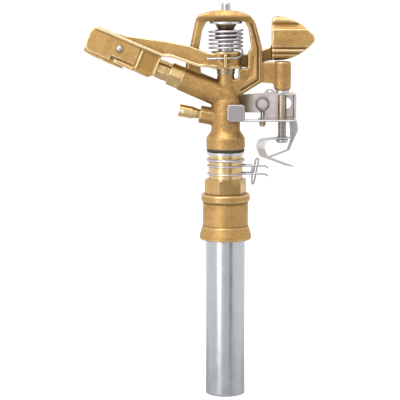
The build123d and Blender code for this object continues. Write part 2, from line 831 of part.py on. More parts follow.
# Trip bracket: floor, front tab, back plate, top flange and end wall of folded sheet
toggle_x = 25.2
toggle_y = 3.0
toggle_leg = 0.8
floor_step = 22.0
plate_step = 26.6
plate_left = 8.6
strip_back = bracket_front + 5.5
bracket = slab(
    polygon(
        (3.2, bracket_front),
        (bracket_end, bracket_front),
        (bracket_end, bracket_back),
        (floor_step, bracket_back),
        (floor_step, strip_back),
        (3.2, strip_back),
    ),
    bracket_low,
    lug_low,
)
bracket -= rod(neck_radius + 0.3, bracket_low - 1, bracket_high)
tab = soft_polygon(2.2, (0.9, bracket_low), (0.9, -4.5), (12.5, -4.5), (12.5, bracket_low))
bracket += plate(tab, bracket_front, lug_front)
back_sheet = polygon(
    (plate_left, -11.6),
    (plate_step, -11.6),
    (plate_step, lug_low - 0.1),
    (bracket_end, lug_low - 0.1),
    (bracket_end, bracket_high),
    (34.0, bracket_high),
    (32.0, 4.6),
    (28.4, 4.6),
    (26.0, 1.9),
    (plate_left, 0.8),
)
bracket += plate(back_sheet, lug_back, bracket_back)
bracket -= plate(Pos(30.2, 3.0) * Circle(0.9), 0, 20)
bracket -= plate(Pos(41.2, -5.1) * Circle(3.9), 0, 20)
bracket += Pos((35 + bracket_end) / 2, (lug_back - 4) / 2, bracket_high - sheet / 2) * Box(
    bracket_end - 35, lug_back + 4, sheet
)
bracket += Pos(bracket_end - sheet / 2, (lug_back - 4) / 2, (lug_low + bracket_high) / 2) * Box(
    sheet, lug_back + 4, bracket_high - lug_low
)
bracket -= trip_place * rod(trip_pin_radius + running_clearance, bracket_low - 1, bracket_high + 1)
toggle_hole = toggle_leg + toggle_wire_size / 2 + 0.1
toggle_place = Pos(toggle_x, toggle_y, 0)
bracket -= toggle_place * rod(toggle_hole, bracket_low - 1, -12)
save("trip_bracket", bracket, root_z)

# Ferrule under the bracket floor, round the legs of the toggle
ferrule = ring(toggle_hole + 0.75, toggle_hole, bracket_low - 3.9, bracket_low)
save("toggle_ferrule", toggle_place * ferrule, root_z)

# Toggle wire: a loop on two legs through the bracket floor
toggle_ring = 4.2
toggle_height = -5.3
toggle_low = -20.8


def toggle_point(along, across):
    """Place of a point given down from the loop's centre and sideways."""
    return Vector(toggle_x + across, toggle_y, toggle_height - along)


leg_top, leg_middle, leg_ring = flare(toggle_ring, toggle_leg, 1.5)
loop_top = toggle_point(-toggle_ring, 0)
leg_length = toggle_height - toggle_low
toggle_edges = [
    Edge.make_line(toggle_point(leg_length, -toggle_leg), toggle_point(leg_top[0], -leg_top[1])),
    Edge.make_three_point_arc(
        toggle_point(leg_top[0], -leg_top[1]),
        toggle_point(leg_middle[0], -leg_middle[1]),
        toggle_point(leg_ring[0], -leg_ring[1]),
    ),
    Edge.make_three_point_arc(
        toggle_point(leg_ring[0], -leg_ring[1]), toggle_point(0, -toggle_ring), loop_top
    ),
]
toggle_edges += [
    Edge.make_three_point_arc(loop_top, toggle_point(0, toggle_ring), toggle_point(*leg_ring)),
    Edge.make_three_point_arc(toggle_point(*leg_ring), toggle_point(*leg_middle), toggle_point(*leg_top)),
    Edge.make_line(toggle_point(*leg_top), toggle_point(leg_length, toggle_leg)),
]
save("toggle_wire", round_wire("toggle_wire", toggle_edges, toggle_wire_size), root_z)

# Trip lever, drawn in an upright plane through the pin that is yawed to the front
lever_way = Vector(-cos(radians(lever_yaw)), -sin(radians(lever_yaw)), 0)
lever_side = Vector(-sin(radians(lever_yaw)), cos(radians(lever_yaw)), 0)
lever_plane = Plane(origin=(trip_x, 0, eye_height), x_dir=lever_way, z_dir=lever_side)


def lever_strip(points, radii, thickness):
    """Bent strip of the lever's width along points in the lever's plane."""
    face = trace(bent_route(points, radii), line_width=thickness)
    return extrude(lever_plane.offset(-lever_width / 2) * face, lever_width)


fold_along = 16.4
fold_height = -11.5
finger_along = -7.5
finger_height = -20.0
finger_slope = (fold_height - finger_height) / (fold_along - finger_along)
crook = lever_strip(
    [(-4.5, 0), (17.8, 0), (20.0, -5.0), (fold_along, fold_height), (finger_along, finger_height)],
    [4.0, 4.0, 1.5],
    crook_sheet,
)
eye = Pos(trip_x, 0, eye_height) * Cylinder(5.3, crook_sheet)
crook += eye
crook -= trip_place * rod(trip_pin_radius + running_clearance, eye_height - 3, eye_height + 3)
save("trip_crook", crook, root_z)


def on_finger(along):
    """Point of the strap's middle line where the strap lies on the finger."""
    raised = (crook_sheet + strap_sheet) / 2 * sqrt(1 + finger_slope ** 2)
    return along, fold_height - (fold_along - along) * finger_slope + raised


strap = lever_strip(
    [(-9.9, 11.3), (-11.6, 5.4), (-9.2, -2.6), (-5.9, -8.8), on_finger(11.4), on_finger(14.8)],
    [9.0, 12.0, 2.0, 3.0],
    strap_sheet,
)

# The strap is wide at the bracket and narrow from its waist to the finger
half_width = lever_width / 2
waist_high = 4.2
waist_low = -2.4
strap_width = polygon(
    (-half_width, 13),
    (half_width, 13),
    (half_width, waist_high),
    (1.6, waist_low),
    (1.3, -22),
    (-1.3, -22),
    (-1.6, waist_low),
    (-half_width, waist_high),
)
waist_corners = strap_width.vertices().filter_by_position(Axis.Y, waist_low - 0.1, waist_high + 0.1)
strap_width = fillet(waist_corners, 12.0)
width_plane = Plane(origin=(trip_x, 0, eye_height), x_dir=lever_side, z_dir=lever_side.cross(Vector(0, 0, 1)))
strap &= extrude(width_plane * strap_width, 40, both=True)
save("trip_strap", strap, root_z)
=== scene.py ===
"""Looks of a brass impact sprinkler on a riser pipe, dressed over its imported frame."""

import logging
import math
from dataclasses import dataclass, field
from enum import Enum
from typing import Iterable, Optional, Sequence

import bmesh
import bpy
import numpy as np
from mathutils import Matrix, Vector


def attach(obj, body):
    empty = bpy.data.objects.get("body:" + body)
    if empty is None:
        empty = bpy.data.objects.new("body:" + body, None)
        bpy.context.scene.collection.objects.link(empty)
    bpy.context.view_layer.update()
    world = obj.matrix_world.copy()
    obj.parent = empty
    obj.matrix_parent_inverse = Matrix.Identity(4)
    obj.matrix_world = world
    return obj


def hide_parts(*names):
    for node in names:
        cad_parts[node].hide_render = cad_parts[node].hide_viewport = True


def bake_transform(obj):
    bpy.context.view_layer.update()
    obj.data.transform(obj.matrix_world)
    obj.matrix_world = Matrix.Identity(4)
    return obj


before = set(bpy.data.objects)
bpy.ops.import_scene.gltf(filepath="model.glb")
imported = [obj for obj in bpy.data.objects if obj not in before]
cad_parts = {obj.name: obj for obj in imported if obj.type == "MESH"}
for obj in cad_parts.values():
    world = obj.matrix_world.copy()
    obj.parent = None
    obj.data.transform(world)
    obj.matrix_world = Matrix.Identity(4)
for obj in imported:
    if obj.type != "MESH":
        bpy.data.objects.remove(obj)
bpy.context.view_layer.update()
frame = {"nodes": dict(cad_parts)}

log = logging.getLogger("sprinkler")
MM = 0.001
Point = tuple[float, float, float]
Corner = tuple[float, float]
Colour = tuple[float, float, float]
Socket = bpy.types.NodeSocket
Sockets = bpy.types.bpy_prop_collection


# Heights and places of the frame, in millimetres

@dataclass(frozen=True)
class Datum:
    """Heights above the pipe's foot, the bridge's height above the root and the trip pin's place."""

    root: float = 206.5
    coupling_base: float = 108.7
    coupling_top: float = 140.1
    hex_top: float = 150.4
    sleeve_top: float = 167.0
    thrust_top: float = 169.1
    dust_base: float = 169.4
    skirt_base: float = 170.7
    bridge_high: float = 58.9
    trip_x: float = 38.4


DATUM = Datum()


# Mesh tools

class Skin(Enum):
    """Ways of easing a copy of a solid: cell of the remesh in millimetres and rounds of smoothing."""

    CASTING = (0.45, 5)
    SHEET = (0.28, 5)
    VANE = (0.35, 4)
    SMALL = (0.2, 3)

    def __init__(self, voxel: float, rounds: int) -> None:
        """Name the two values."""
        self.voxel = voxel
        self.rounds = rounds


def link(name: str, mesh: bpy.types.Mesh) -> bpy.types.Object:
    """Object at the origin that shows a mesh.

    Args:
        name: name of the piece.
        mesh: its mesh, in metres.

    Returns:
        The linked object.
    """
    piece = bpy.data.objects.new(name, mesh)
    bpy.context.scene.collection.objects.link(piece)
    return piece


def settle(piece: bpy.types.Object) -> bpy.types.Object:
    """Apply a piece's modifiers and leave a plain mesh.

    Args:
        piece: object with modifiers.

    Returns:
        The same object.
    """
    bpy.context.view_layer.update()
    graph = bpy.context.evaluated_depsgraph_get()
    made = bpy.data.meshes.new_from_object(piece.evaluated_get(graph))
    made.name = piece.name
    piece.modifiers.clear()
    piece.data = made
    return piece


def write_edges(mesh: bpy.types.Mesh, values: np.ndarray) -> None:
    """Store how sharp each vertex is, above 0 for outer edges and below 0 for inner ones."""
    mark = mesh.attributes.get("edge") or mesh.attributes.new("edge", "FLOAT", "POINT")
    mark.data.foreach_set("value", values.astype(np.float32))


def vertex_vectors(mesh: bpy.types.Mesh, key: str) -> np.ndarray:
    """Read a vector of each vertex of a mesh.

    Args:
        mesh: the mesh.
        key: "co" for places or "normal" for normals.

    Returns:
        One row for each vertex.
    """
    values = np.empty(len(mesh.vertices) * 3, np.float32)
    mesh.vertices.foreach_get(key, values)
    return values.reshape(-1, 3).astype(float)


def measure_edges(mesh: bpy.types.Mesh, voxel: float) -> None:
    """Measure the bend of the surface at each vertex and store it.

    Args:
        mesh: an evenly meshed surface, in metres.
        voxel: size of its cells in metres.
    """
    place = vertex_vectors(mesh, "co")
    normal = vertex_vectors(mesh, "normal")
    pairs = np.empty(len(mesh.edges) * 2, np.int32)
    mesh.edges.foreach_get("vertices", pairs)
    pairs = pairs.reshape(-1, 2)
    degree = np.maximum(np.bincount(pairs.ravel(), minlength=len(place)), 1)

    def spread(values: np.ndarray) -> np.ndarray:
        """Mean of each vertex's neighbours.

        Args:
            values: a number or a row for each vertex.

        Returns:
            The means, in the same form.
        """
        total = np.zeros_like(values)
        np.add.at(total, pairs[:, 0], values[pairs[:, 1]])
        np.add.at(total, pairs[:, 1], values[pairs[:, 0]])
        return total / degree.reshape((-1,) + (1,) * (values.ndim - 1))

    gain = 9.0
    bend = ((place - spread(place)) * normal).sum(axis=1) / voxel
    for _ in range(2):
        bend = 0.5 * bend + 0.5 * spread(bend)
    write_edges(mesh, np.clip(bend * gain, -1.0, 1.0))


@dataclass(frozen=True)
class ShadePatch:
    """Patch of painted shade on a casting: a soft box seen from the front, in millimetres above the root."""

    middle: Corner
    half: Corner
    tilt: float = 0.0
    soft: float = 2.0
    depth: float = 1.0


def painted_shade(piece: bpy.types.Object, *patches: ShadePatch) -> bpy.types.Object:
    """Store how much painted shade each vertex of a piece gets.

    Args:
        piece: a finely meshed piece.
        patches: where the shade is painted.

    Returns:
        The same piece.
    """
    mesh = piece.data
    place = vertex_vectors(mesh, "co") / MM
    total = np.zeros(len(place))
    for patch in patches:
        right = place[:, 0] - patch.middle[0]
        up = place[:, 2] - DATUM.root - patch.middle[1]
        turn = math.radians(patch.tilt)
        along = right * math.cos(turn) + up * math.sin(turn)
        across = up * math.cos(turn) - right * math.sin(turn)
        inside = np.minimum(patch.half[0] - np.abs(along), patch.half[1] - np.abs(across))
        total = np.maximum(total, patch.depth * np.clip(0.5 + inside / patch.soft, 0.0, 1.0))
    mesh.attributes.new("painted_shade", "FLOAT", "POINT").data.foreach_set("value", total.astype(np.float32))
    return piece


def eased_copy(node: str, name: str, skin: Skin) -> bpy.types.Object:
    """Copy of a CAD node with softened edges.

    Args:
        node: the node to copy.
        name: name of the new piece.
        skin: how finely it is meshed and smoothed.

    Returns:
        The new piece, with its edges measured.
    """
    source = frame["nodes"][node]
    shell = bmesh.new()
    shell.from_mesh(source.data)
    shell.transform(source.matrix_world)
    bmesh.ops.remove_doubles(shell, verts=shell.verts, dist=1e-6)
    mesh = bpy.data.meshes.new(name)
    shell.to_mesh(mesh)
    shell.free()
    piece = link(name, mesh)
    remesh = piece.modifiers.new("cells", "REMESH")
    remesh.mode = "VOXEL"
    remesh.voxel_size = skin.voxel * MM
    remesh.use_smooth_shade = True
    smooth = piece.modifiers.new("ease", "SMOOTH")
    smooth.factor = 0.5
    smooth.iterations = skin.rounds
    settle(piece)
    measure_edges(piece.data, skin.voxel * MM)
    return piece


def eased(corners: Sequence[Corner], ease: float) -> list[tuple[float, float, float]]:
    """Round the corners of a closed outline of radius and height.

    Args:
        corners: outline in millimetres, walked up the outside and down the inside.
        ease: radius of the corners.

    Returns:
        Points of radius, height and edge value.
    """
    points = []
    count = len(corners)
    guard, full_turn = 0.7, 0.9
    for index, corner in enumerate(corners):
        here = Vector(corner)
        back = Vector(corners[index - 1]) - here
        ahead = Vector(corners[(index + 1) % count]) - here
        if corner[0] < 1e-6 or ease <= 0:
            points.append((here.x, here.y, 0.0))
            continue
        turn = math.pi - back.angle(ahead)
        reach = min(ease * math.tan(turn / 2), 0.4 * back.length, 0.4 * ahead.length)
        cross = -back.x * ahead.y + back.y * ahead.x
        value = math.copysign(min(1.0, turn / full_turn), cross)
        start = here + back.normalized() * reach
        end = here + ahead.normalized() * reach
        guard_back = here + back.normalized() * min(reach + guard, 0.45 * back.length)
        guard_ahead = here + ahead.normalized() * min(reach + guard, 0.45 * ahead.length)
        points.append((guard_back.x, guard_back.y, 0.0))
        for step in (0.0, 0.33, 0.67, 1.0):
            way = start.lerp(here, step).lerp(here.lerp(end, step), step)
            points.append((way.x, way.y, value))
        points.append((guard_ahead.x, guard_ahead.y, 0.0))
    return points


@dataclass(frozen=True)
class Flats:
    """Spanner flats that cut a turned piece between two heights."""

    across: float
    low: float
    high: float
    turn: float = 0.0
    count: int = 6

    def radius(self, angle: float) -> float:
        """Distance of a flat from the axis.

        Args:
            angle: direction round the axis in radians.

        Returns:
            The distance in millimetres.
        """
        step = 2 * math.pi / self.count
        local = (angle - math.radians(self.turn)) % step - step / 2
        return self.across / 2 / math.cos(local)


def turned(
    name: str,
    corners: Sequence[Corner],
    ease: float = 0.3,
    place: Optional[Matrix] = None,
    flats: Optional[Flats] = None,
    segments: int = 96,
) -> bpy.types.Object:
    """Lathe-turned piece with eased corners.

    Args:
        name: name of the piece.
        corners: closed outline of radius and height in millimetres.
        ease: radius of the corners.
        place: frame that the piece stands in, in millimetres.
        flats: spanner flats, if any.
        segments: number of faces round the axis.

    Returns:
        The new piece, with its edges marked.
    """
    rows = eased(corners, ease)
    place = place or Matrix.Identity(4)
    offset = math.radians(flats.turn) if flats else 0.0
    verts, marks = [], []
    for radius, height, mark in rows:
        for step in range(segments):
            angle = offset + 2 * math.pi * step / segments
            reach, value = radius, mark
            if flats and flats.low - 1e-6 <= height <= flats.high + 1e-6:
                limit = flats.radius(angle)
                if limit < reach:
                    corner = step % (segments // flats.count) == 0
                    reach, value = limit, 1.0 if corner else 0.0
            spot = place @ Vector((reach * math.cos(angle), reach * math.sin(angle), height))
            verts.append(spot * MM)
            marks.append(value)
    faces = []
    for row in range(len(rows)):
        below, above = row * segments, (row + 1) % len(rows) * segments
        if rows[row][0] < 1e-6 and rows[(row + 1) % len(rows)][0] < 1e-6:
            continue
        for step in range(segments):
            after = (step + 1) % segments
            faces.append((below + step, below + after, above + after, above + step))
    mesh = bpy.data.meshes.new(name)
    mesh.from_pydata(verts, [], faces)
    write_edges(mesh, np.array(marks))
    shell = bmesh.new()
    shell.from_mesh(mesh)
    bmesh.ops.remove_doubles(shell, verts=shell.verts, dist=1e-7)
    bmesh.ops.dissolve_degenerate(shell, edges=shell.edges, dist=1e-8)
    bmesh.ops.recalc_face_normals(shell, faces=shell.faces)
    shell.to_mesh(mesh)
    shell.free()
    mesh.polygons.foreach_set("use_smooth", [True] * len(mesh.polygons))
    mesh.set_sharp_from_angle(angle=math.radians(32))
    return link(name, mesh)


# Wires along a path, made with geometry nodes

class WireTree:
    """Geometry node tree that draws a round wire along a chain of edges."""

    def __init__(self) -> None:
        """Build the tree once for every wire."""
        tree = bpy.data.node_groups.new("wire along a path", "GeometryNodeTree")
        face = tree.interface
        face.new_socket("Path", in_out="INPUT", socket_type="NodeSocketGeometry")
        self.radius = face.new_socket("Radius", in_out="INPUT", socket_type="NodeSocketFloat").identifier
        self.sides = face.new_socket("Sides", in_out="INPUT", socket_type="NodeSocketInt").identifier
        self.finish = face.new_socket("Finish", in_out="INPUT", socket_type="NodeSocketMaterial").identifier
        face.new_socket("Wire", in_out="OUTPUT", socket_type="NodeSocketGeometry")
        build = Tree(tree, "GeometryNode")
        given = build.add("NodeGroupInput").outputs
        curve = build.add("MeshToCurve", Mesh=given["Path"]).outputs[0]
        size = {"Radius": given["Radius"], "Resolution": given["Sides"]}
        circle = build.add("CurvePrimitiveCircle", **size).outputs[0]
        wire = build.add("CurveToMesh", Curve=curve, Profile_Curve=circle, Fill_Caps=True).outputs[0]
        smooth = build.add("SetShadeSmooth", Geometry=wire).outputs[0]
        whole = build.add("RealizeInstances", Geometry=smooth).outputs[0]
        painted = build.add("SetMaterial", Geometry=whole, Material=given["Finish"]).outputs[0]
        build.join(build.add("NodeGroupOutput"), Wire=painted)
        self.tree = tree

    def draw(
        self, name: str, path: Sequence[Vector], diameter: float, finish: bpy.types.Material
    ) -> bpy.types.Object:
        """Draw one wire.

        Args:
            name: name of the piece.
            path: points of its middle line in millimetres.
            diameter: of the wire in millimetres.
            finish: its material.

        Returns:
            The wire as a plain mesh piece.
        """
        mesh = bpy.data.meshes.new(name)
        legs = [(step, step + 1) for step in range(len(path) - 1)]
        mesh.from_pydata([point * MM for point in path], legs, [])
        piece = link(name, mesh)
        modifier = piece.modifiers.new("wire", "NODES")
        modifier.node_group = self.tree
        modifier[self.radius] = diameter / 2 * MM
        modifier[self.sides] = 14
        modifier[self.finish] = finish
        settle(piece)
        mesh = piece.data
        shell = bmesh.new()
        shell.from_mesh(mesh)
        bmesh.ops.recalc_face_normals(shell, faces=shell.faces)
        shell.to_mesh(mesh)
        shell.free()
        mesh.set_sharp_from_angle(angle=math.radians(50))
        return piece


def arc(center: Vector, across: Vector, along: Vector, first: float, last: float) -> list[Vector]:
    """Points of an arc.

    Args:
        center: its centre.
        across: vector to the point at angle 0.
        along: vector to the point at angle 90.
        first: start angle in degrees.
        last: end angle in degrees.

    Returns:
        Points a few degrees apart.
    """
    steps = max(2, int(abs(last - first) / 6))
    angles = [math.radians(first + (last - first) * step / steps) for step in range(steps + 1)]
    return [center + across * math.cos(angle) + along * math.sin(angle) for angle in angles]


def helix(foot: Vector, radius: float, low: float, high: float, first: float, last: float) -> list[Vector]:
    """Points of an upright helix.

    Args:
        foot: place of its axis.
        radius: of its middle line.
        low: height of its start.
        high: height of its end.
        first: start angle in degrees.
        last: end angle in degrees.

    Returns:
        Points a few degrees apart.
    """
    steps = max(8, int(abs(last - first) / 8))
    path = []
    for step in range(steps + 1):
        share = step / steps
        angle = math.radians(first + (last - first) * share)
        height = low + (high - low) * share
        path.append(foot + Vector((radius * math.cos(angle), radius * math.sin(angle), height)))
    return path


def bent(points: Sequence[Point], radius: float) -> list[Vector]:
    """Path of straight legs with a bend at each inner corner.

    Args:
        points: ends and corners in millimetres.
        radius: of the bends.

    Returns:
        Points of the path.
    """
    spots = [Vector(point) for point in points]
    path = [spots[0]]
    for before, corner, after in zip(spots, spots[1:], spots[2:]):
        inward = (corner - before).normalized()
        outward = (after - corner).normalized()
        turn = inward.angle(outward)
        setback = radius * math.tan(turn / 2)
        side = (outward - inward * inward.dot(outward)).normalized()
        middle = corner - inward * setback + side * radius
        steps = max(2, int(math.degrees(turn) / 10))
        for step in range(steps + 1):
            angle = turn * step / steps
            path.append(middle - side * radius * math.cos(angle) + inward * radius * math.sin(angle))
    path.append(spots[-1])
    return path


# Node builder and shader groups

class Tree:
    """Short way to add and join nodes."""

    def __init__(self, tree: bpy.types.NodeTree, prefix: str = "ShaderNode") -> None:
        """Keep the tree to add to and the prefix of its node types."""
        self.tree = tree
        self.prefix = prefix

    def add(self, kind: str, settings: Optional[dict] = None, **inputs: object) -> bpy.types.Node:
        """Add a node.

        Args:
            kind: Blender's name of the node type, without its prefix.
            settings: properties to set on the node.
            inputs: values or sockets by input name with _ for a space, or by i and its number.

        Returns:
            The node.
        """
        node = self.tree.nodes.new(kind if kind.startswith("Node") else self.prefix + kind)
        for key, value in (settings or {}).items():
            setattr(node, key, value)
        for key, value in inputs.items():
            by_number = key[0] == "i" and key[1:].isdigit()
            socket = node.inputs[int(key[1:])] if by_number else node.inputs[key.replace("_", " ")]
            if isinstance(value, Socket):
                self.tree.links.new(value, socket)
            else:
                socket.default_value = value
        return node

    def math(self, operation: str, first: object, second: object = 0.0) -> Socket:
        """Result of a math node on two values or sockets."""
        return self.add("Math", {"operation": operation}, i0=first, i1=second).outputs[0]

    def times(self, first: object, second: object) -> Socket:
        """Product of two values or sockets."""
        return self.math("MULTIPLY", first, second)

    def plus(self, first: object, second: object) -> Socket:
        """Sum of two values or sockets."""
        return self.math("ADD", first, second)

    def ramp(
        self, value: object, low: float, high: float, to_low: float = 0.0, to_high: float = 1.0
    ) -> Socket:
        """Carry a value smoothly from one range to another.

        Args:
            value: the value or socket.
            low: value that gives to_low.
            high: value that gives to_high.
            to_low: result at low.
            to_high: result at high.

        Returns:
            The result's socket.
        """
        limits = {"From_Min": low, "From_Max": high, "To_Min": to_low, "To_Max": to_high}
        node = self.add("MapRange", {"interpolation_type": "SMOOTHSTEP"}, Value=value, **limits)
        return node.outputs["Result"]

    def blend(self, share: object, first: object, second: object) -> Socket:
        """Mix of two colours."""
        return self.add("Mix", {"data_type": "RGBA"}, i0=share, i6=first, i7=second).outputs[2]

    def noise(self, place: Socket, size: object, detail: float = 3.0, rough: float = 0.55) -> Socket:
        """Noise whose blobs are about a size in millimetres across."""
        scale = self.math("DIVIDE", 1.0 / MM, size)
        return self.add("TexNoise", Vector=place, Scale=scale, Detail=detail, Roughness=rough).outputs["Fac"]

    def relief(self, height: Socket, depth: float, strength: float) -> Socket:
        """Normal bent by a height, with its depth in millimetres."""
        return self.add("Bump", Height=height, Distance=depth * MM, Strength=strength).outputs[0]

    def group(self, tree: bpy.types.NodeTree, **values: float) -> Sockets:
        """Outputs of a shared group that is placed with its own values."""
        return self.add("Group", {"node_tree": tree}, **values).outputs

    def join(self, node: bpy.types.Node, **sockets: Socket) -> None:
        """Join sockets to a node's inputs by name, with _ for a space."""
        for key, socket in sockets.items():
            self.tree.links.new(socket, node.inputs[key.replace("_", " ")])


def empty_tree(holder: bpy.types.ID) -> Tree:
    """Clear the node tree of a material or a world.

    Args:
        holder: the material or world.

    Returns:
        Builder of its tree.
    """
    holder.use_nodes = True
    holder.node_tree.nodes.clear()
    return Tree(holder.node_tree)


def open_group(
    name: str, inputs: dict[str, float], outputs: Iterable[str]
) -> tuple[Tree, Sockets, bpy.types.Node]:
    """Start a shader group of number sockets.

    Args:
        name: of the group.
        inputs: default values by name.
        outputs: names of the outputs.

    Returns:
        The group's builder, its inputs as sockets and its output node.
    """
    group = bpy.data.node_groups.new(name, "ShaderNodeTree")
    for key, value in inputs.items():
        group.interface.new_socket(key, in_out="INPUT", socket_type="NodeSocketFloat").default_value = value
    for key in outputs:
        group.interface.new_socket(key, in_out="OUTPUT", socket_type="NodeSocketFloat")
    build = Tree(group)
    return build, build.add("NodeGroupInput").outputs, build.add("NodeGroupOutput")


def wear_dirt_shade_group() -> bpy.types.NodeTree:
    """Masks of rubbed outer edges, of dirt in inner ones and of painted shade in sheltered places.

    Returns:
        The group, with Wear, Grime and Shade outputs, Shade being painted shade.
    """
    inputs = {"Patch size": 3.0, "Wear": 1.0, "Grime": 1.0, "Shelter size": 16.0}
    build, given, outward = open_group("edge wear, dirt and shade", inputs, ("Wear", "Grime", "Shelter"))
    place = build.add("TexCoord").outputs["Object"]
    edge = build.add("Attribute", {"attribute_name": "edge"}).outputs["Fac"]
    patch = build.noise(place, given["Patch size"], 4.0)
    uneven = build.plus(build.times(patch, 0.9), -0.45)
    outer = build.ramp(build.plus(edge, build.times(uneven, 0.5)), 0.12, 0.75)
    inner = build.ramp(build.math("SUBTRACT", build.times(uneven, 0.3), edge), 0.1, 0.8)
    reach = build.times(given["Shelter size"], MM)
    # painted shade: ambient occlusion darkens places that other parts shelter from the light
    open_sky = build.add("AmbientOcclusion", {"samples": 12}, Distance=reach).outputs["AO"]
    shade_share = build.ramp(build.plus(open_sky, build.times(uneven, 0.2)), 0.92, 0.3)
    wear, grime = build.times(outer, given["Wear"]), build.times(inner, given["Grime"])
    build.join(outward, Wear=wear, Grime=grime, Shelter=shade_share)
    return build.tree


def sand_grain_group() -> bpy.types.NodeTree:
    """Grain, pits and colour patches of a sand casting.

    Returns:
        The group, with Patch and Height outputs.
    """
    inputs = {"Grain size": 0.7, "Pit size": 1.6, "Patch size": 9.0}
    build, given, outward = open_group("sand grain", inputs, ("Patch", "Height"))
    place = build.add("TexCoord").outputs["Object"]
    grain = build.noise(place, given["Grain size"], 3.0, 0.6)
    scale = build.math("DIVIDE", 1.0 / MM, given["Pit size"])
    cells = build.add("TexVoronoi", {"feature": "F1"}, Vector=place, Scale=scale).outputs["Distance"]
    pits = build.ramp(cells, 0.12, 0.42)
    cloud = build.noise(place, given["Patch size"], 5.0, 0.65)
    height = build.plus(build.times(grain, 0.7), build.times(pits, 0.3))
    patch = build.plus(build.times(cloud, 0.5), build.times(grain, 0.5))
    build.join(outward, Height=height, Patch=patch)
    return build.tree


def brushed_group() -> bpy.types.NodeTree:
    """Fine lines of a tool or a brush, along one of the three axes.

    Returns:
        The group, with Line and Smudge outputs.
    """
    inputs = {"Line size": 0.25, "Stretch X": 1.0, "Stretch Y": 1.0, "Stretch Z": 1.0, "Smudge size": 8.0}
    build, given, outward = open_group("brushed lines", inputs, ("Line", "Smudge"))
    place = build.add("TexCoord").outputs["Object"]
    stretch = {axis: given["Stretch " + axis] for axis in "XYZ"}
    pull = build.add("CombineXYZ", **stretch)
    long = build.add("VectorMath", {"operation": "MULTIPLY"}, i0=place, i1=pull.outputs[0]).outputs[0]
    line = build.noise(long, given["Line size"], 2.0, 0.5)
    build.join(outward, Line=line, Smudge=build.noise(place, given["Smudge size"], 4.0, 0.6))
    return build.tree


def rgba(colour: Colour) -> tuple[float, float, float, float]:
    """A colour with full alpha."""
    return (*colour, 1.0)


class Groups:
    """Shader groups that the finishes share."""

    def __init__(self) -> None:
        """Build each group once."""
        self.wear = wear_dirt_shade_group()
        self.sand = sand_grain_group()
        self.lines = brushed_group()


@dataclass(frozen=True)
class Finish:
    """What every finish has: a name, a slot name and its colours."""

    name: str
    slot: str
    colour: Colour
    bright: Colour
    dark: Colour
    roughness: float
    metallic: float = 1.0
    # share of painted shade in sheltered places
    shade_share: float = 0.3

    def start(self) -> tuple[bpy.types.Material, Tree, bpy.types.Node]:
        """New material with an empty tree and its shader.

        Returns:
            The material, its builder and its Principled shader.
        """
        material = bpy.data.materials.new(self.name)
        material.diffuse_color = rgba(self.colour)
        build = empty_tree(material)
        shader = build.add("BsdfPrincipled", Metallic=self.metallic)
        build.add("OutputMaterial", Surface=shader.outputs[0])
        return material, build, shader

    def skin(self, build: Tree, share: Socket, low: float, high: float) -> Socket:
        """Patches of the dark colour and the plain one, split by a share."""
        return build.blend(build.ramp(share, low, high), rgba(self.dark), rgba(self.colour))

    def soiled_and_shaded(
        self, build: Tree, wear: Sockets, skin: Socket, grime: float, shine: object
    ) -> Socket:
        """Darken the inner edges with dirt and the sheltered places with painted shade, and brighten its
        outer edges.

        Args:
            build: builder of the material.
            wear: outputs of the material's group of edge wear, dirt and painted shade.
            skin: colour of the plain surface.
            grime: share of dirt in the inner edges.
            shine: share of bright metal on the outer edges, as a value or a socket.

        Returns:
            The colour with its edges.
        """
        # this colour paints dirt in the inner edges and painted shade in the sheltered places
        dirt_and_shade = rgba(tuple(0.4 * part for part in self.dark))
        skin = build.blend(build.times(wear["Shelter"], self.shade_share), skin, dirt_and_shade)
        skin = build.blend(build.times(wear["Grime"], grime), skin, dirt_and_shade)
        return build.blend(build.times(wear["Wear"], shine), skin, rgba(self.bright))


@dataclass(frozen=True)
class CastFinish(Finish):
    """Sand cast metal, tumbled so that its edges shine."""

    grain: float = 1.5
    depth: float = 0.18
    shine: float = 0.4

    def make(self, groups: Groups) -> bpy.types.Material:
        """Build the material.

        Args:
            groups: the shared shader groups.

        Returns:
            The material.
        """
        material, build, shader = self.start()
        sand = build.group(groups.sand, Grain_size=self.grain)
        wear = build.group(groups.wear)
        skin = self.skin(build, sand["Patch"], 0.32, 0.62)
        # painted shade: the patches stored on the mesh darken the skin and dull its edge shine
        shade_mask = build.add("Attribute", {"attribute_name": "painted_shade"}).outputs["Fac"]
        skin = build.blend(shade_mask, skin, rgba(self.dark))
        shine = build.ramp(shade_mask, 0.0, 1.0, self.shine, 0.4 * self.shine)
        skin = self.soiled_and_shaded(build, wear, skin, 0.7, shine)
        rough = build.ramp(sand["Patch"], 0.3, 0.7, self.roughness + 0.08, self.roughness - 0.05)
        rough = build.math("SUBTRACT", rough, build.times(wear["Wear"], 0.12))
        normal = build.relief(sand["Height"], self.depth, 0.6)
        build.join(shader, Base_Color=skin, Roughness=rough, Normal=normal)
        return material


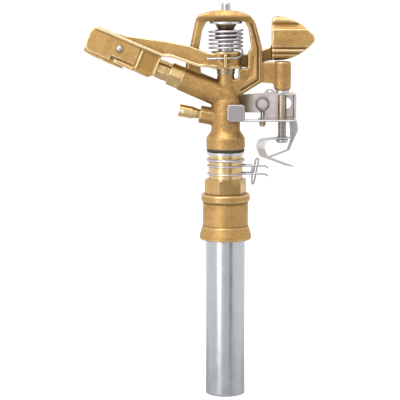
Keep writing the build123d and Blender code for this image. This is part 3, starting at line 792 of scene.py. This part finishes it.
@dataclass(frozen=True)
class TurnedFinish(Finish):
    """Machined or drawn metal with fine lines along one direction."""

    stretch: Point = (1.0, 1.0, 12.0)
    line: float = 0.2
    depth: float = 0.01

    def tone(self, build: Tree, skin: Socket) -> Socket:
        """The skin's colour as it is; other finishes shade it."""
        return skin

    def make(self, groups: Groups) -> bpy.types.Material:
        """Build the material.

        Args:
            groups: the shared shader groups.

        Returns:
            The material.
        """
        material, build, shader = self.start()
        stretch = {"Stretch_" + axis: pull for axis, pull in zip("XYZ", self.stretch)}
        lines = build.group(groups.lines, Line_size=self.line, **stretch)
        wear = build.group(groups.wear, Patch_size=2.0)
        skin = self.tone(build, self.skin(build, lines["Smudge"], 0.35, 0.65))
        skin = self.soiled_and_shaded(build, wear, skin, 0.6, 0.7)
        rough = build.ramp(lines["Line"], 0.3, 0.7, self.roughness - 0.05, self.roughness + 0.06)
        rough = build.plus(rough, build.ramp(lines["Smudge"], 0.4, 0.75, 0.0, 0.08))
        normal = build.relief(lines["Line"], self.depth, 0.5)
        build.join(shader, Base_Color=skin, Roughness=rough, Normal=normal)
        return material


@dataclass(frozen=True)
class SheetFinish(TurnedFinish):
    """Rolled sheet with painted shade on its front tab and a painted reflection of the brass body at its
    inner end, in millimetres.
    """

    # painted shade of the front tab
    front: Colour = (0.42, 0.39, 0.4)
    front_end: float = -9.0
    back_start: float = 3.0
    # painted reflection of the brass body on the inner end
    painted_shade: Colour = (0.19, 0.125, 0.05)
    shade_end: float = 12.5
    unshaded_start: float = 22.0

    def tone(self, build: Tree, skin: Socket) -> Socket:
        """Blend the painted reflection of the brass in towards the inner end and the darker painted shade
        towards the front.

        Args:
            build: builder of the material.
            skin: colour of the plain sheet.

        Returns:
            The shaded colour.
        """
        place = build.add("TexCoord").outputs["Object"]
        parts = build.add("SeparateXYZ", Vector=place).outputs
        unshaded = build.ramp(parts["X"], self.shade_end * MM, self.unshaded_start * MM)
        back = build.blend(unshaded, rgba(self.painted_shade), skin)
        share = build.ramp(parts["Y"], self.front_end * MM, self.back_start * MM)
        return build.blend(share, rgba(self.front), back)


@dataclass(frozen=True)
class GalvanisedFinish(Finish):
    """Hot dip galvanised tube with faint spangle and long draw marks."""

    spangle: float = 5.0

    def make(self, groups: Groups) -> bpy.types.Material:
        """Build the material.

        Args:
            groups: the shared shader groups.

        Returns:
            The material.
        """
        material, build, shader = self.start()
        lines = build.group(groups.lines, Line_size=0.5, Stretch_Z=0.02, Smudge_size=14.0)
        wear = build.group(groups.wear, Patch_size=2.0)
        place = build.add("TexCoord").outputs["Object"]
        cells = build.add("TexVoronoi", {"feature": "F1"}, Vector=place, Scale=1.0 / MM / self.spangle)
        shade = build.add("SeparateColor", Color=cells.outputs["Color"]).outputs[0]
        mixed = build.plus(build.times(shade, 0.35), build.times(lines["Smudge"], 0.65))
        skin = self.skin(build, mixed, 0.25, 0.75)
        skin = self.soiled_and_shaded(build, wear, skin, 0.5, 0.6)
        rough = build.ramp(mixed, 0.2, 0.8, self.roughness - 0.03, self.roughness + 0.04)
        normal = build.relief(build.plus(lines["Line"], build.times(mixed, 0.5)), 0.006, 0.4)
        build.join(shader, Base_Color=skin, Roughness=rough, Normal=normal)
        return material


@dataclass(frozen=True)
class RubberFinish(Finish):
    """Moulded rubber with a dusty bloom."""

    def make(self, groups: Groups) -> bpy.types.Material:
        """Build the material.

        Args:
            groups: the shared shader groups.

        Returns:
            The material.
        """
        material, build, shader = self.start()
        sand = build.group(groups.sand, Grain_size=0.3, Pit_size=0.8, Patch_size=4.0)
        wear = build.group(groups.wear)
        skin = self.skin(build, sand["Patch"], 0.35, 0.65)
        skin = self.soiled_and_shaded(build, wear, skin, 0.5, 0.5)
        rough = build.ramp(sand["Patch"], 0.3, 0.7, self.roughness - 0.08, self.roughness + 0.06)
        build.join(shader, Base_Color=skin, Roughness=rough, Normal=build.relief(sand["Height"], 0.03, 0.4))
        return material


class Palette:
    """Materials of the sprinkler."""

    def __init__(self) -> None:
        """Make each finish once."""
        self.groups = Groups()
        self.slots: dict[bpy.types.Material, str] = {}
        self.cast_brass = self.keep(CastFinish(
            "cast brass", "cast_brass", (0.64, 0.39, 0.148), (0.98, 0.78, 0.47), (0.44, 0.255, 0.08),
            roughness=0.42, metallic=0.75, shade_share=0.65, shine=0.95,
        ))
        self.socket_brass = self.keep(CastFinish(
            "cast brass of the coupling", "cast_brass", (0.61, 0.37, 0.138),
            (0.88, 0.66, 0.37), (0.44, 0.255, 0.08),
            roughness=0.42, metallic=0.75, shade_share=0.85,
        ))
        # painted shade: a darker copy of the cast brass, as the body lies more in shade than the arm
        self.shaded_body_brass = self.keep(CastFinish(
            "shaded cast brass of the body", "cast_brass", (0.56, 0.338, 0.125),
            (0.88, 0.66, 0.37), (0.35, 0.2, 0.062),
            roughness=0.46, metallic=0.75, shade_share=0.85,
        ))
        self.turned_brass = self.keep(TurnedFinish(
            "turned brass", "turned_brass", (0.77, 0.55, 0.29), (0.92, 0.76, 0.5), (0.66, 0.45, 0.2),
            roughness=0.2,
        ))
        self.nozzle_brass = self.keep(TurnedFinish(
            "bright turned brass", "turned_brass", (0.92, 0.66, 0.33), (0.98, 0.82, 0.55), (0.8, 0.55, 0.24),
            roughness=0.14, shade_share=0.8,
        ))
        self.milled_brass = self.keep(TurnedFinish(
            "milled brass", "turned_brass", (0.7, 0.47, 0.2), (0.9, 0.7, 0.42), (0.6, 0.39, 0.15),
            roughness=0.26, shade_share=0.6,
        ))
        self.dull_brass = self.keep(TurnedFinish(
            "drawn brass", "turned_brass", (0.42, 0.32, 0.17), (0.62, 0.52, 0.34), (0.34, 0.25, 0.12),
            roughness=0.3,
        ))
        self.pin_steel = self.keep(TurnedFinish(
            "plated pin", "stainless", (0.5, 0.42, 0.33), (0.72, 0.66, 0.58), (0.42, 0.35, 0.27),
            roughness=0.3,
        ))
        self.galvanised = self.keep(GalvanisedFinish(
            "galvanised steel", "galvanised_steel", (0.56, 0.585, 0.62),
            (0.7, 0.72, 0.74), (0.52, 0.545, 0.58),
            roughness=0.24,
        ))
        self.stainless = self.keep(SheetFinish(
            "stainless sheet", "stainless", (0.96, 0.89, 0.87), (0.66, 0.63, 0.63), (0.8, 0.73, 0.71),
            roughness=0.36, metallic=0.85, shade_share=0.15, stretch=(0.06, 1.0, 1.0),
        ))
        self.strip = self.keep(TurnedFinish(
            "spring strip", "stainless", (0.8, 0.795, 0.79), (0.66, 0.655, 0.65), (0.7, 0.69, 0.68),
            roughness=0.42, metallic=0.45, stretch=(1.0, 1.0, 0.2),
        ))
        self.turned_steel = self.keep(TurnedFinish(
            "turned steel", "stainless", (0.63, 0.6, 0.63), (0.84, 0.83, 0.85), (0.52, 0.5, 0.52),
            roughness=0.3,
        ))
        # painted shade: a dark core that stands for the shadow seen between the spring's coils
        self.gap_shade_steel = self.keep(TurnedFinish(
            "dark steel as painted coil shade", "stainless", (0.2, 0.18, 0.17), (0.42, 0.4, 0.39), (0.12, 0.105, 0.1),
            roughness=0.32,
        ))
        self.wire = self.keep(TurnedFinish(
            "spring wire", "spring_wire", (0.66, 0.63, 0.66), (0.84, 0.84, 0.85), (0.54, 0.52, 0.54),
            roughness=0.32, metallic=0.8, stretch=(1.0, 1.0, 1.0), line=0.4,
        ))
        self.dark_wire = self.keep(TurnedFinish(
            "dark wire", "spring_wire", (0.3, 0.27, 0.27), (0.5, 0.48, 0.48), (0.2, 0.18, 0.18),
            roughness=0.3, stretch=(1.0, 1.0, 1.0), line=0.4,
        ))
        self.rubber = self.keep(RubberFinish(
            "rubber", "rubber", (0.045, 0.035, 0.026), (0.09, 0.075, 0.06), (0.03, 0.023, 0.017),
            roughness=0.6, metallic=0.0,
        ))

    def keep(self, finish: Finish) -> bpy.types.Material:
        """Make a finish and remember its slot.

        Args:
            finish: the finish.

        Returns:
            Its material.
        """
        material = finish.make(self.groups)
        self.slots[material] = finish.slot
        return material

    def dress(self, piece: bpy.types.Object, material: bpy.types.Material, *nodes: str) -> bpy.types.Object:
        """Give a piece its material and let it stand for CAD nodes.

        Args:
            piece: the piece.
            material: its finish.
            nodes: CAD nodes that it stands for.

        Returns:
            The same piece.
        """
        piece.data.materials.clear()
        piece.data.materials.append(material)
        if nodes:
            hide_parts(*nodes)
        log.info("piece %s: %s", piece.name, material.name)
        return piece

    def paint(self, node: str, material: bpy.types.Material) -> None:
        """Give a CAD node a material.

        Args:
            node: name of the node.
            material: its finish.
        """
        piece = frame["nodes"][node]
        piece.data.materials.clear()
        piece.data.materials.append(material)
        log.info("node %s: %s", node, material.name)


# Sub-assemblies

def ring(outer: float, inner: float, low: float, high: float) -> list[Corner]:
    """Outline of a tube between two heights."""
    return [(outer, low), (outer, high), (inner, high), (inner, low)]


@dataclass
class Base:
    """Pipe, coupling, bearing nipple and the rings on it."""

    palette: Palette
    wires: WireTree
    pipe: Corner = (13.45, 10.85)
    coupling: float = 15.5
    sleeve: float = 11.6
    bore: float = 8.55
    hex_flats: float = 25.4
    hex_turn: float = 13.0
    thrust: Corner = (12.75, 8.8)
    snap_wire: float = 1.8
    snap_height: float = 13.1
    snap_ends: Corner = (100.0, 440.0)

    def build(self) -> None:
        """Build and dress every piece of the base."""
        paint = self.palette
        base, top = DATUM.coupling_base, DATUM.coupling_top
        pipe = turned("galvanised_pipe", ring(*self.pipe, 0.0, base - 0.3), 0.5, segments=128)
        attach(paint.dress(pipe, paint.galvanised, "riser_pipe"), "base")
        radius = self.coupling
        lip = [
            (radius + 1.8, base), (radius + 2.3, base + 0.6), (radius + 2.1, base + 3.4),
            (radius + 1.3, base + 5.9), (radius + 0.6, base + 8.7), (radius, base + 9.5),
        ]
        bead = [
            (radius, top - 5.9), (radius + 1.2, top - 4.5), (radius + 1.2, top - 0.7), (radius + 0.6, top),
        ]
        inside = [(12.45, top), (11.8, top - 12.0), (11.8, base + 11.3), (13.25, base)]
        coupling = turned("cast_coupling", lip + bead + inside, 0.9, segments=128)
        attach(paint.dress(coupling, paint.socket_brass, "pipe_coupling"), "base")
        corner = self.hex_flats / 2 / math.cos(math.radians(30))
        high = DATUM.hex_top
        nut = [
            (12.4, top - 12.0), (12.4, top), (corner - 0.9, top), (corner, top + 0.6), (corner, high - 0.6),
            (corner - 0.9, high), (self.bore, high), (self.bore, top - 12.0),
        ]
        flats = Flats(self.hex_flats, top, high, self.hex_turn)
        nipple = turned("nipple_hexagon", nut, 0.3, flats=flats, segments=144)
        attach(paint.dress(nipple, paint.milled_brass, "bearing_nipple"), "base")
        sleeve = turned("nipple_sleeve", ring(self.sleeve, self.bore, high - 0.2, DATUM.sleeve_top), 0.3)
        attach(paint.dress(sleeve, paint.turned_brass), "base")
        thrust = turned("thrust_ring", ring(*self.thrust, DATUM.sleeve_top, DATUM.thrust_top), 0.5)
        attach(paint.dress(thrust, paint.turned_steel, "thrust_washer"), "base")
        middle = self.sleeve + 0.05 + self.snap_wire / 2
        across, along = Vector((middle, 0, 0)), Vector((0, middle, 0))
        path = arc(Vector((0, 0, DATUM.hex_top + self.snap_height)), across, along, *self.snap_ends)
        snap = self.wires.draw("snap_wire", path, self.snap_wire, paint.wire)
        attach(paint.dress(snap, paint.wire, "snap_ring"), "base")
        for node in ("seal_washer_upper", "seal_washer_lower"):
            paint.paint(node, paint.turned_steel)
        paint.paint("seal_washer_rubber", paint.rubber)


@dataclass
class StopClip:
    """One wire with two bands, a hairpin and two hooked tails."""

    palette: Palette
    wires: WireTree
    wire: float = 1.3
    sleeve: float = 11.63
    flare_radius: float = 2.5
    bend: float = 1.4
    tail: float = 3.0
    hairpin: float = 4.8

    def flare(self, offset: float) -> tuple[Vector, float]:
        """Centre of the arc from a band to a straight leg, and where the band ends.

        Args:
            offset: sideways place of the leg.

        Returns:
            Centre as (along, across), and the band's end angle in degrees.
        """
        reach = self.band + self.flare_radius
        across = offset + self.flare_radius
        along = math.sqrt(reach ** 2 - across ** 2)
        return Vector((along, across)), math.degrees(math.atan2(across, along))

    @property
    def band(self) -> float:
        """Radius of the bands' middle line."""
        return self.sleeve + self.wire / 2

    def round_band(self, front: float, back: float, height: float) -> list[Vector]:
        """Path from the front leg round the sleeve to the back leg.

        Args:
            front: sideways place of the front leg.
            back: sideways place of the back leg.
            height: of the band.

        Returns:
            Points of the path.
        """
        front_center, front_angle = self.flare(front)
        back_center, back_angle = self.flare(back)
        size = self.flare_radius
        x, y = Vector((size, 0, 0)), Vector((0, size, 0))
        first = arc(Vector((front_center.x, -front_center.y, height)), x, y, 90, 180 - front_angle)
        wide_x, wide_y = Vector((self.band, 0, 0)), Vector((0, self.band, 0))
        round_it = arc(Vector((0, 0, height)), wide_x, wide_y, -front_angle, back_angle - 360)
        last = arc(Vector((back_center.x, back_center.y, height)), x, y, 180 + back_angle, 270)
        return first + round_it[1:] + last[1:]

    def build(self) -> None:
        """Build and dress the clip."""
        upper, lower = DATUM.hex_top + 9.1, DATUM.hex_top + 3.5
        top, low = DATUM.hex_top + 13.0, DATUM.hex_top - 4.3
        upper_band = self.round_band(self.tail, self.tail, upper)
        lower_band = self.round_band(self.tail, self.hairpin, lower)
        upper_tail = [(28.9, -self.tail, upper - 1.6), (27.0, -self.tail, upper), tuple(upper_band[0])]
        lower_tail = [tuple(lower_band[0]), (27.0, -self.tail, lower), (28.9, -self.tail, lower - 1.6)]
        hairpin = [
            tuple(upper_band[-1]), (18.3, self.tail, upper), (18.3, self.tail, low), (19.6, 6.0, low),
            (23.2, 8.0, top), (20.9, 6.0, top), (19.4, self.hairpin, lower), tuple(lower_band[-1]),
        ]
        path = bent(upper_tail, self.bend)[:-1] + upper_band
        path += bent(hairpin, self.bend)[1:-1] + lower_band[::-1]
        path += bent(lower_tail, self.bend)[1:]
        clip = self.wires.draw("stop_clip_wire", path, self.wire, self.palette.wire)
        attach(self.palette.dress(clip, self.palette.wire, "arc_stop_clip"), "stop_clip")


@dataclass
class Head:
    """Body casting, nozzles, pivot pieces and the trip bracket."""

    palette: Palette
    wires: WireTree
    dust: Corner = (12.95, 8.55)
    fulcrum: float = 3.0
    fulcrum_foot: float = 7.5
    pin_hole: float = 3.02
    trip_pin: float = 3.0
    pin_foot: float = -31.3
    pin_top: float = 19.5
    thread_low: float = -28.2
    thread_high: float = -16.4
    thread_pitch: float = 0.9
    thread_ridge: float = 0.62
    toggle: Point = (25.2, 3.0, -5.3)
    toggle_wire: float = 1.2
    toggle_ring: float = 4.2
    toggle_leg: float = 0.8
    bearing_wire: float = 1.2
    bearing_coil: float = 9.85
    bearing_rise: float = 8.0
    bearing_turns: int = 3

    def build(self) -> None:
        """Build and dress every piece of the head."""
        self.castings()
        self.pivot()
        self.trip()

    def ride(self, piece: bpy.types.Object, material: bpy.types.Material, *nodes: str) -> None:
        """Dress a piece and let it ride on the head."""
        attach(self.palette.dress(piece, material, *nodes), "head")

    def castings(self) -> None:
        """Body, nozzles and the pieces in the swivel."""
        paint = self.palette
        # painted shade on the crown's lower front band and on the bridge foot, which lie in shade
        crown_band = ShadePatch((0.0, 51.9), (14.5, 1.5), soft=1.6, depth=0.8)
        bridge_foot = ShadePatch((11.6, 16.6), (2.6, 4.6), soft=3.0, depth=0.8)
        body = painted_shade(eased_copy("sprinkler_body", "cast_body", Skin.CASTING), crown_band, bridge_foot)
        self.ride(body, paint.shaded_body_brass, "sprinkler_body")
        for node, name in (("range_nozzle", "range_jet"), ("spreader_nozzle", "spreader_jet")):
            self.ride(eased_copy(node, name, Skin.SMALL), paint.nozzle_brass, node)
        dust = turned("dust_ring", ring(*self.dust, DATUM.dust_base, DATUM.skirt_base), 0.45)
        self.ride(dust, paint.rubber, "dust_washer")
        paint.paint("bearing_tube", paint.turned_brass)
        low = DATUM.skirt_base + 0.6
        turns = 360 * self.bearing_turns
        path = helix(Vector((0, 0, 0)), self.bearing_coil, low, low + self.bearing_rise, 0, turns)
        coil = self.wires.draw("bearing_coil", path, self.bearing_wire, paint.wire)
        self.ride(coil, paint.wire, "bearing_spring")

    def pivot(self) -> None:
        """Fulcrum pin and the turned pieces on it."""
        paint, high, low, hole = self.palette, DATUM.bridge_high, self.fulcrum_foot, self.pin_hole
        place = Matrix.Translation((0, 0, DATUM.root))
        shank = [(0, low), (self.fulcrum, low), (self.fulcrum, high)]
        head = [(3.15, high), (3.15, high + 4.2), (2.25, high + 5.0), (0, high + 5.0)]
        pin = turned("fulcrum_stud", shank + head, 0.25, place, segments=48)
        self.ride(pin, paint.turned_steel, "fulcrum_pin")
        collar = [(5.3, 45.5), (7.8, 49.7), (hole, 49.7), (hole, 45.5)]
        for name, node, outline, ease, finish in (
            ("tower_washer", "pivot_washer", ring(6.2, hole, 15.5, 17.1), 0.25, paint.dull_brass),
            ("spring_plate", "spring_disc", ring(11.0, hole, 49.7, 51.2), 0.3, paint.turned_steel),
            ("brass_collar", "pivot_collar", collar, 0.3, paint.dull_brass),
            # the spring core is dark as painted shade between the coils
            ("spring_core", "pivot_sleeve", ring(7.4, hole, 38.2, 45.5), 0.4, paint.gap_shade_steel),
        ):
            self.ride(turned(name, outline, ease, place), finish, node)

    def trip(self) -> None:
        """Trip pin, bracket and toggle."""
        paint, root, radius = self.palette, DATUM.root, self.trip_pin
        place = Matrix.Translation((DATUM.trip_x, 0, root))
        core = radius - 0.45
        low, high = self.thread_low, self.thread_high
        shank = [(0, self.pin_foot), (core, self.pin_foot), (core, high + 0.2), (radius, high + 0.5)]
        pin = shank + [(radius, self.pin_top), (0, self.pin_top)]
        self.ride(turned("trip_stud", pin, 0.1, place, segments=48), paint.pin_steel, "trip_pin")
        turns = (high - low) / self.thread_pitch
        axis = Vector((DATUM.trip_x, 0, 0))
        path = helix(axis, radius - 0.3, root + low, root + high, 0, 360 * turns)
        thread = self.wires.draw("trip_thread", path, self.thread_ridge, paint.turned_steel)
        self.ride(thread, paint.turned_steel)
        spacer = turned("trip_spacer", ring(4.7, self.pin_hole, 2.6, 4.5), 0.3, place)
        self.ride(spacer, paint.turned_steel, "trip_pin_washer")
        low, high, hole = self.pin_foot, self.pin_foot + 2.5, self.pin_hole
        foot = [(3.35, low), (4.35, low + 1.0), (4.35, high - 0.5), (3.85, high), (hole, high), (hole, low)]
        self.ride(turned("trip_foot", foot, 0.25, place), paint.turned_steel, "trip_pin_foot")
        self.ride(eased_copy("trip_bracket", "bracket_sheet", Skin.SHEET), paint.stainless, "trip_bracket")
        loop = self.wires.draw("toggle_loop", self.toggle_path(), self.toggle_wire, paint.dark_wire)
        self.ride(loop, paint.dark_wire, "toggle_wire")
        under = Matrix.Translation((self.toggle[0], self.toggle[1], root))
        cap = turned("toggle_cap", ring(2.25, 1.5, -19.9, -16.0), 0.4, under, segments=48)
        self.ride(cap, paint.dull_brass, "toggle_ferrule")

    def toggle_path(self) -> list[Vector]:
        """Path of the toggle wire: a loop on two legs.

        Returns:
            Points of the path.
        """
        x, y, z = self.toggle
        size, leg, turn = self.toggle_ring, self.toggle_leg, 1.5
        center = Vector((x, y, DATUM.root + z))
        across = leg + turn
        down = math.sqrt((size + turn) ** 2 - across ** 2)
        open_angle = math.degrees(math.atan2(across, down))
        loop = arc(center, Vector((size, 0, 0)), Vector((0, 0, size)), open_angle - 90, 270 - open_angle)
        bend_x, bend_z = Vector((turn, 0, 0)), Vector((0, 0, turn))
        right = arc(center + Vector((across, 0, -down)), bend_x, bend_z, 180, 90 + open_angle)
        left = arc(center + Vector((-across, 0, -down)), bend_x, bend_z, 90 - open_angle, 0)
        ends = [center + Vector((side * leg, 0, -15.5)) for side in (1, -1)]
        return [ends[0]] + right + loop[1:] + left[1:] + [ends[1]]


@dataclass
class ImpactArm:
    """Swinging arm with its bush, drive spoon, rivet and spring."""

    palette: Palette
    wires: WireTree
    spring_wire: float = 1.4
    spring_radius: float = 11.3
    spring_turns: int = 5
    spring_pitch: float = 2.7
    tail_height: float = 26.8
    tail_end: float = -12.0
    tail_drop: float = 0.36
    tail_fall: float = 5.2
    tail_turn: float = 105.0
    coil_start: float = 15.0
    bead: float = 1.0
    bush: Corner = (5.38, 3.05)
    flange: float = 6.4
    bush_heights: Point = (17.4, 19.5, 37.9)

    def build(self) -> None:
        """Build and dress every piece of the arm."""
        paint = self.palette
        # painted shade on the spoon block, the counterweight's foot and both sides of the hub
        block = ShadePatch((-53.2, 22.2), (5.8, 9.5), -21.0)
        weight_foot = ShadePatch((40.0, 27.5), (13.0, 3.6), depth=0.8)
        hub_right = ShadePatch((4.4, 25.0), (2.6, 4.6), depth=0.8)
        hub_left = ShadePatch((-3.8, 22.8), (2.4, 1.8), depth=0.8)
        arm = eased_copy("impact_arm", "cast_arm", Skin.CASTING)
        painted_shade(arm, block, weight_foot, hub_right, hub_left)
        self.ride(arm, paint.cast_brass, "impact_arm")
        low, seat, top = self.bush_heights
        place = Matrix.Translation((0, 0, DATUM.root))
        bush = turned("turned_bush", ring(*self.bush, seat - 0.1, top), 0.3, place)
        self.ride(bush, paint.turned_steel, "arm_bush")
        flange = turned("bush_flange", ring(self.flange, self.bush[1], low, seat), 0.3, place)
        self.ride(flange, paint.dull_brass)
        self.ride(eased_copy("drive_spoon", "spoon_vane", Skin.VANE), paint.cast_brass, "drive_spoon")
        self.ride(eased_copy("spoon_rivet", "rivet_dome", Skin.SMALL), paint.turned_steel, "spoon_rivet")
        self.spring()

    def ride(self, piece: bpy.types.Object, material: bpy.types.Material, *nodes: str) -> None:
        """Dress a piece and let it ride on the arm."""
        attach(self.palette.dress(piece, material, *nodes), "arm")

    def spring(self) -> None:
        """Torsion spring that winds between the bridge and the arm."""
        paint, root = self.palette, DATUM.root
        radius = self.spring_radius
        low = root + self.tail_height + self.tail_fall
        high = low + self.spring_pitch * self.spring_turns
        first = self.coil_start + 360 * self.spring_turns
        path = helix(Vector((0, 0, 0)), radius, high, low, first, self.coil_start)
        steps, fallen, curve = 28, 0.72, 1.7
        for step in range(1, steps + 1):
            share = step / steps
            angle = math.radians(self.coil_start - self.tail_turn * share)
            fall = self.tail_fall * (1 - (1 - min(1.0, share / fallen)) ** curve)
            path.append(Vector((radius * math.cos(angle), radius * math.sin(angle), low - fall)))
        tip = Vector((self.tail_end, -self.spring_radius, root + self.tail_height - self.tail_drop))
        path.append(tip)
        spring = self.wires.draw("torsion_spring", path, self.spring_wire, paint.wire)
        paint.dress(spring, paint.wire, "arm_spring")
        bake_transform(spring)
        angles = [math.radians(-90 + 15 * step) for step in range(13)]
        ball = [(self.bead * abs(math.cos(angle)), self.bead * math.sin(angle)) for angle in angles]
        bead = turned("tail_bead", ball, 0.0, Matrix.Translation(tip), segments=24)
        self.ride(bead, paint.wire)


@dataclass
class TripLever:
    """Crook and spring strap that flip on the trip pin."""

    palette: Palette

    def build(self) -> None:
        """Build and dress the two strips."""
        for node, name in (("trip_crook", "crook_strip"), ("trip_strap", "strap_strip")):
            piece = self.palette.dress(eased_copy(node, name, Skin.SHEET), self.palette.strip, node)
            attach(piece, "trip_lever")


# Studio

@dataclass
class Studio:
    """Floor, soft boxes, cards and the camera."""

    camera_place: Point = (-17.5, -1200.0, 314.8)
    pitch: float = 8.5
    focal: float = 1768.0
    frame: float = 400.0
    sensor: float = 36.0
    sky_as_light: float = 0.45
    floor_grey: float = 0.82
    floor_glow: float = 0.68
    stage: list[bpy.types.Object] = field(default_factory=list)

    def build(self) -> None:
        """Set the camera, the world, the floor and the lights."""
        self.camera()
        self.world()
        self.floor()
        self.soft_box("key box", azimuth=-37, distance=900, low=-500, high=900, width=20, radiance=2.0)
        self.top_box("front box", place=(-450, -700, 1150), size=560, radiance=4.2)
        self.top_box("overhead box", place=(-100, -250, 1250), size=600, radiance=5.0)
        self.card("camera card", azimuth=2, distance=1500, low=-500, high=1000, width=34, glow=0.8)
        self.card("dark card", azimuth=31, distance=1300, low=-500, high=900, width=18, glow=0.3)
        self.under_card()
        bpy.context.scene.view_settings.view_transform = "Standard"

    def camera(self) -> None:
        """Camera at the photograph's angle."""
        data = bpy.data.cameras.new("camera")
        data.sensor_width = self.sensor
        data.lens = self.focal / self.frame * self.sensor
        data.clip_end = 100.0
        camera = bpy.data.objects.new("camera", data)
        camera.location = Vector(self.camera_place) * MM
        camera.rotation_euler = (math.radians(90 - self.pitch), 0, 0)
        bpy.context.scene.collection.objects.link(camera)
        bpy.context.scene.camera = camera

    def seen_rays(self, build: Tree) -> Socket:
        """Tell the rays that see a thing from those that it lights.

        Args:
            build: builder of a material or world.

        Returns:
            One for camera, glossy and transmission rays, and nothing for others.
        """
        path = build.add("LightPath").outputs
        both = build.math("MAXIMUM", path["Is Camera Ray"], path["Is Glossy Ray"])
        return build.math("MAXIMUM", both, path["Is Transmission Ray"])

    def world(self) -> None:
        """White surroundings, a little dimmer as a light."""
        world = bpy.data.worlds.new("studio")
        build = empty_tree(world)
        dim = self.sky_as_light
        strength = build.plus(build.times(self.seen_rays(build), 1.0 - dim), dim)
        sky = build.add("Background", Color=(1, 1, 1, 1), Strength=strength)
        build.add("OutputWorld", Surface=sky.outputs[0])
        bpy.context.scene.world = world

    def sheet(self, name: str, corners: Sequence[Point], colour: float, glow: float) -> bpy.types.Object:
        """Flat stage piece.

        Args:
            name: of the piece.
            corners: its four corners in millimetres.
            colour: grey of its surface.
            glow: light that it gives off.

        Returns:
            The piece.
        """
        mesh = bpy.data.meshes.new(name)
        mesh.from_pydata([Vector(corner) * MM for corner in corners], [], [(0, 1, 2, 3)])
        piece = link(name, mesh)
        material = bpy.data.materials.new(name)
        material.use_nodes = True
        shader = material.node_tree.nodes["Principled BSDF"]
        shader.inputs["Base Color"].default_value = (colour, colour, colour, 1)
        shader.inputs["Roughness"].default_value = 0.9
        shader.inputs["Emission Color"].default_value = (1, 1, 1, 1)
        shader.inputs["Emission Strength"].default_value = glow
        mesh.materials.append(material)
        self.stage.append(piece)
        return piece

    def floor(self) -> None:
        """Pale floor, white to the camera with a soft shadow."""
        piece = self.sheet("floor", self.level(40000.0, -0.2), self.floor_grey, 0.0)
        piece.visible_glossy = False
        piece.visible_shadow = False
        build = Tree(piece.data.materials[0].node_tree)
        glow = build.times(self.seen_rays(build), self.floor_glow)
        build.join(build.tree.nodes["Principled BSDF"], Emission_Strength=glow)

    def reflector(self, piece: bpy.types.Object) -> None:
        """Let only reflections see a card."""
        for rays in ("camera", "diffuse", "shadow", "transmission"):
            setattr(piece, "visible_" + rays, False)

    def level(self, half: float, height: float) -> list[Point]:
        """Corners of a level square sheet."""
        return [(-half, -half, height), (half, -half, height), (half, half, height), (-half, half, height)]

    def card(
        self, name: str, azimuth: float, distance: float, low: float, high: float, width: float, glow: float
    ) -> None:
        """Upright grey card that faces the object and shows in the metal only.

        Args:
            name: of the card.
            azimuth: angle from the camera's side, to the right, in degrees.
            distance: from the object.
            low: height of its lower edge.
            high: height of its upper edge.
            width: angle that it covers.
            glow: light that it gives off.
        """
        sides = []
        for turn in (azimuth - width / 2, azimuth + width / 2):
            angle = math.radians(turn)
            sides.append((distance * math.sin(angle), -distance * math.cos(angle)))
        left, right = sides
        corners = [(*left, low), (*right, low), (*right, high), (*left, high)]
        self.reflector(self.sheet(name, corners, 0.0, glow))

    def under_card(self) -> None:
        """Grey card under the object that darkens the undersides."""
        self.reflector(self.sheet("under card", self.level(700.0, -160.0), 0.0, 0.5))

    def soft_box(
        self, name: str, azimuth: float, distance: float, low: float, high: float, width: float,
        radiance: float,
    ) -> None:
        """Upright lamp that faces the object.

        Args:
            name: of the lamp.
            azimuth: angle from the camera's side, to the right, in degrees.
            distance: from the object.
            low: height of its lower edge.
            high: height of its upper edge.
            width: angle that it covers.
            radiance: of its surface.
        """
        angle = math.radians(azimuth)
        ahead = Vector((-math.sin(angle), math.cos(angle), 0))
        place = ahead * -distance + Vector((0, 0, (low + high) / 2))
        breadth = 2 * distance * math.tan(math.radians(width / 2))
        self.lamp(name, place, ahead, (breadth, high - low), radiance)

    def top_box(self, name: str, place: Point, size: float, radiance: float) -> None:
        """Square lamp that looks at the head from a place above it."""
        aim = Vector((0, 0, DATUM.root)) - Vector(place)
        self.lamp(name, Vector(place), aim, (size, size), radiance)

    def lamp(self, name: str, place: Vector, aim: Vector, size: Corner, radiance: float) -> None:
        """Area lamp that the camera doesn't see.

        Args:
            name: of the lamp.
            place: its middle in millimetres.
            aim: way that it shines.
            size: its width and height in millimetres.
            radiance: of its surface.
        """
        data = bpy.data.lights.new(name, "AREA")
        data.shape = "RECTANGLE"
        data.size, data.size_y = size[0] * MM, size[1] * MM
        data.energy = radiance * math.pi * data.size * data.size_y
        lamp = bpy.data.objects.new(name, data)
        lamp.location = place * MM
        lamp.rotation_euler = aim.to_track_quat("-Z", "Y").to_euler()
        lamp.visible_camera = False
        bpy.context.scene.collection.objects.link(lamp)


def main() -> None:
    """Build the sprinkler and its studio."""
    logging.basicConfig(level=logging.INFO, format="%(message)s")
    palette = Palette()
    wires = WireTree()
    Base(palette, wires).build()
    StopClip(palette, wires).build()
    Head(palette, wires).build()
    ImpactArm(palette, wires).build()
    TripLever(palette).build()
    Studio().build()


if __name__ == "__main__":
    main()
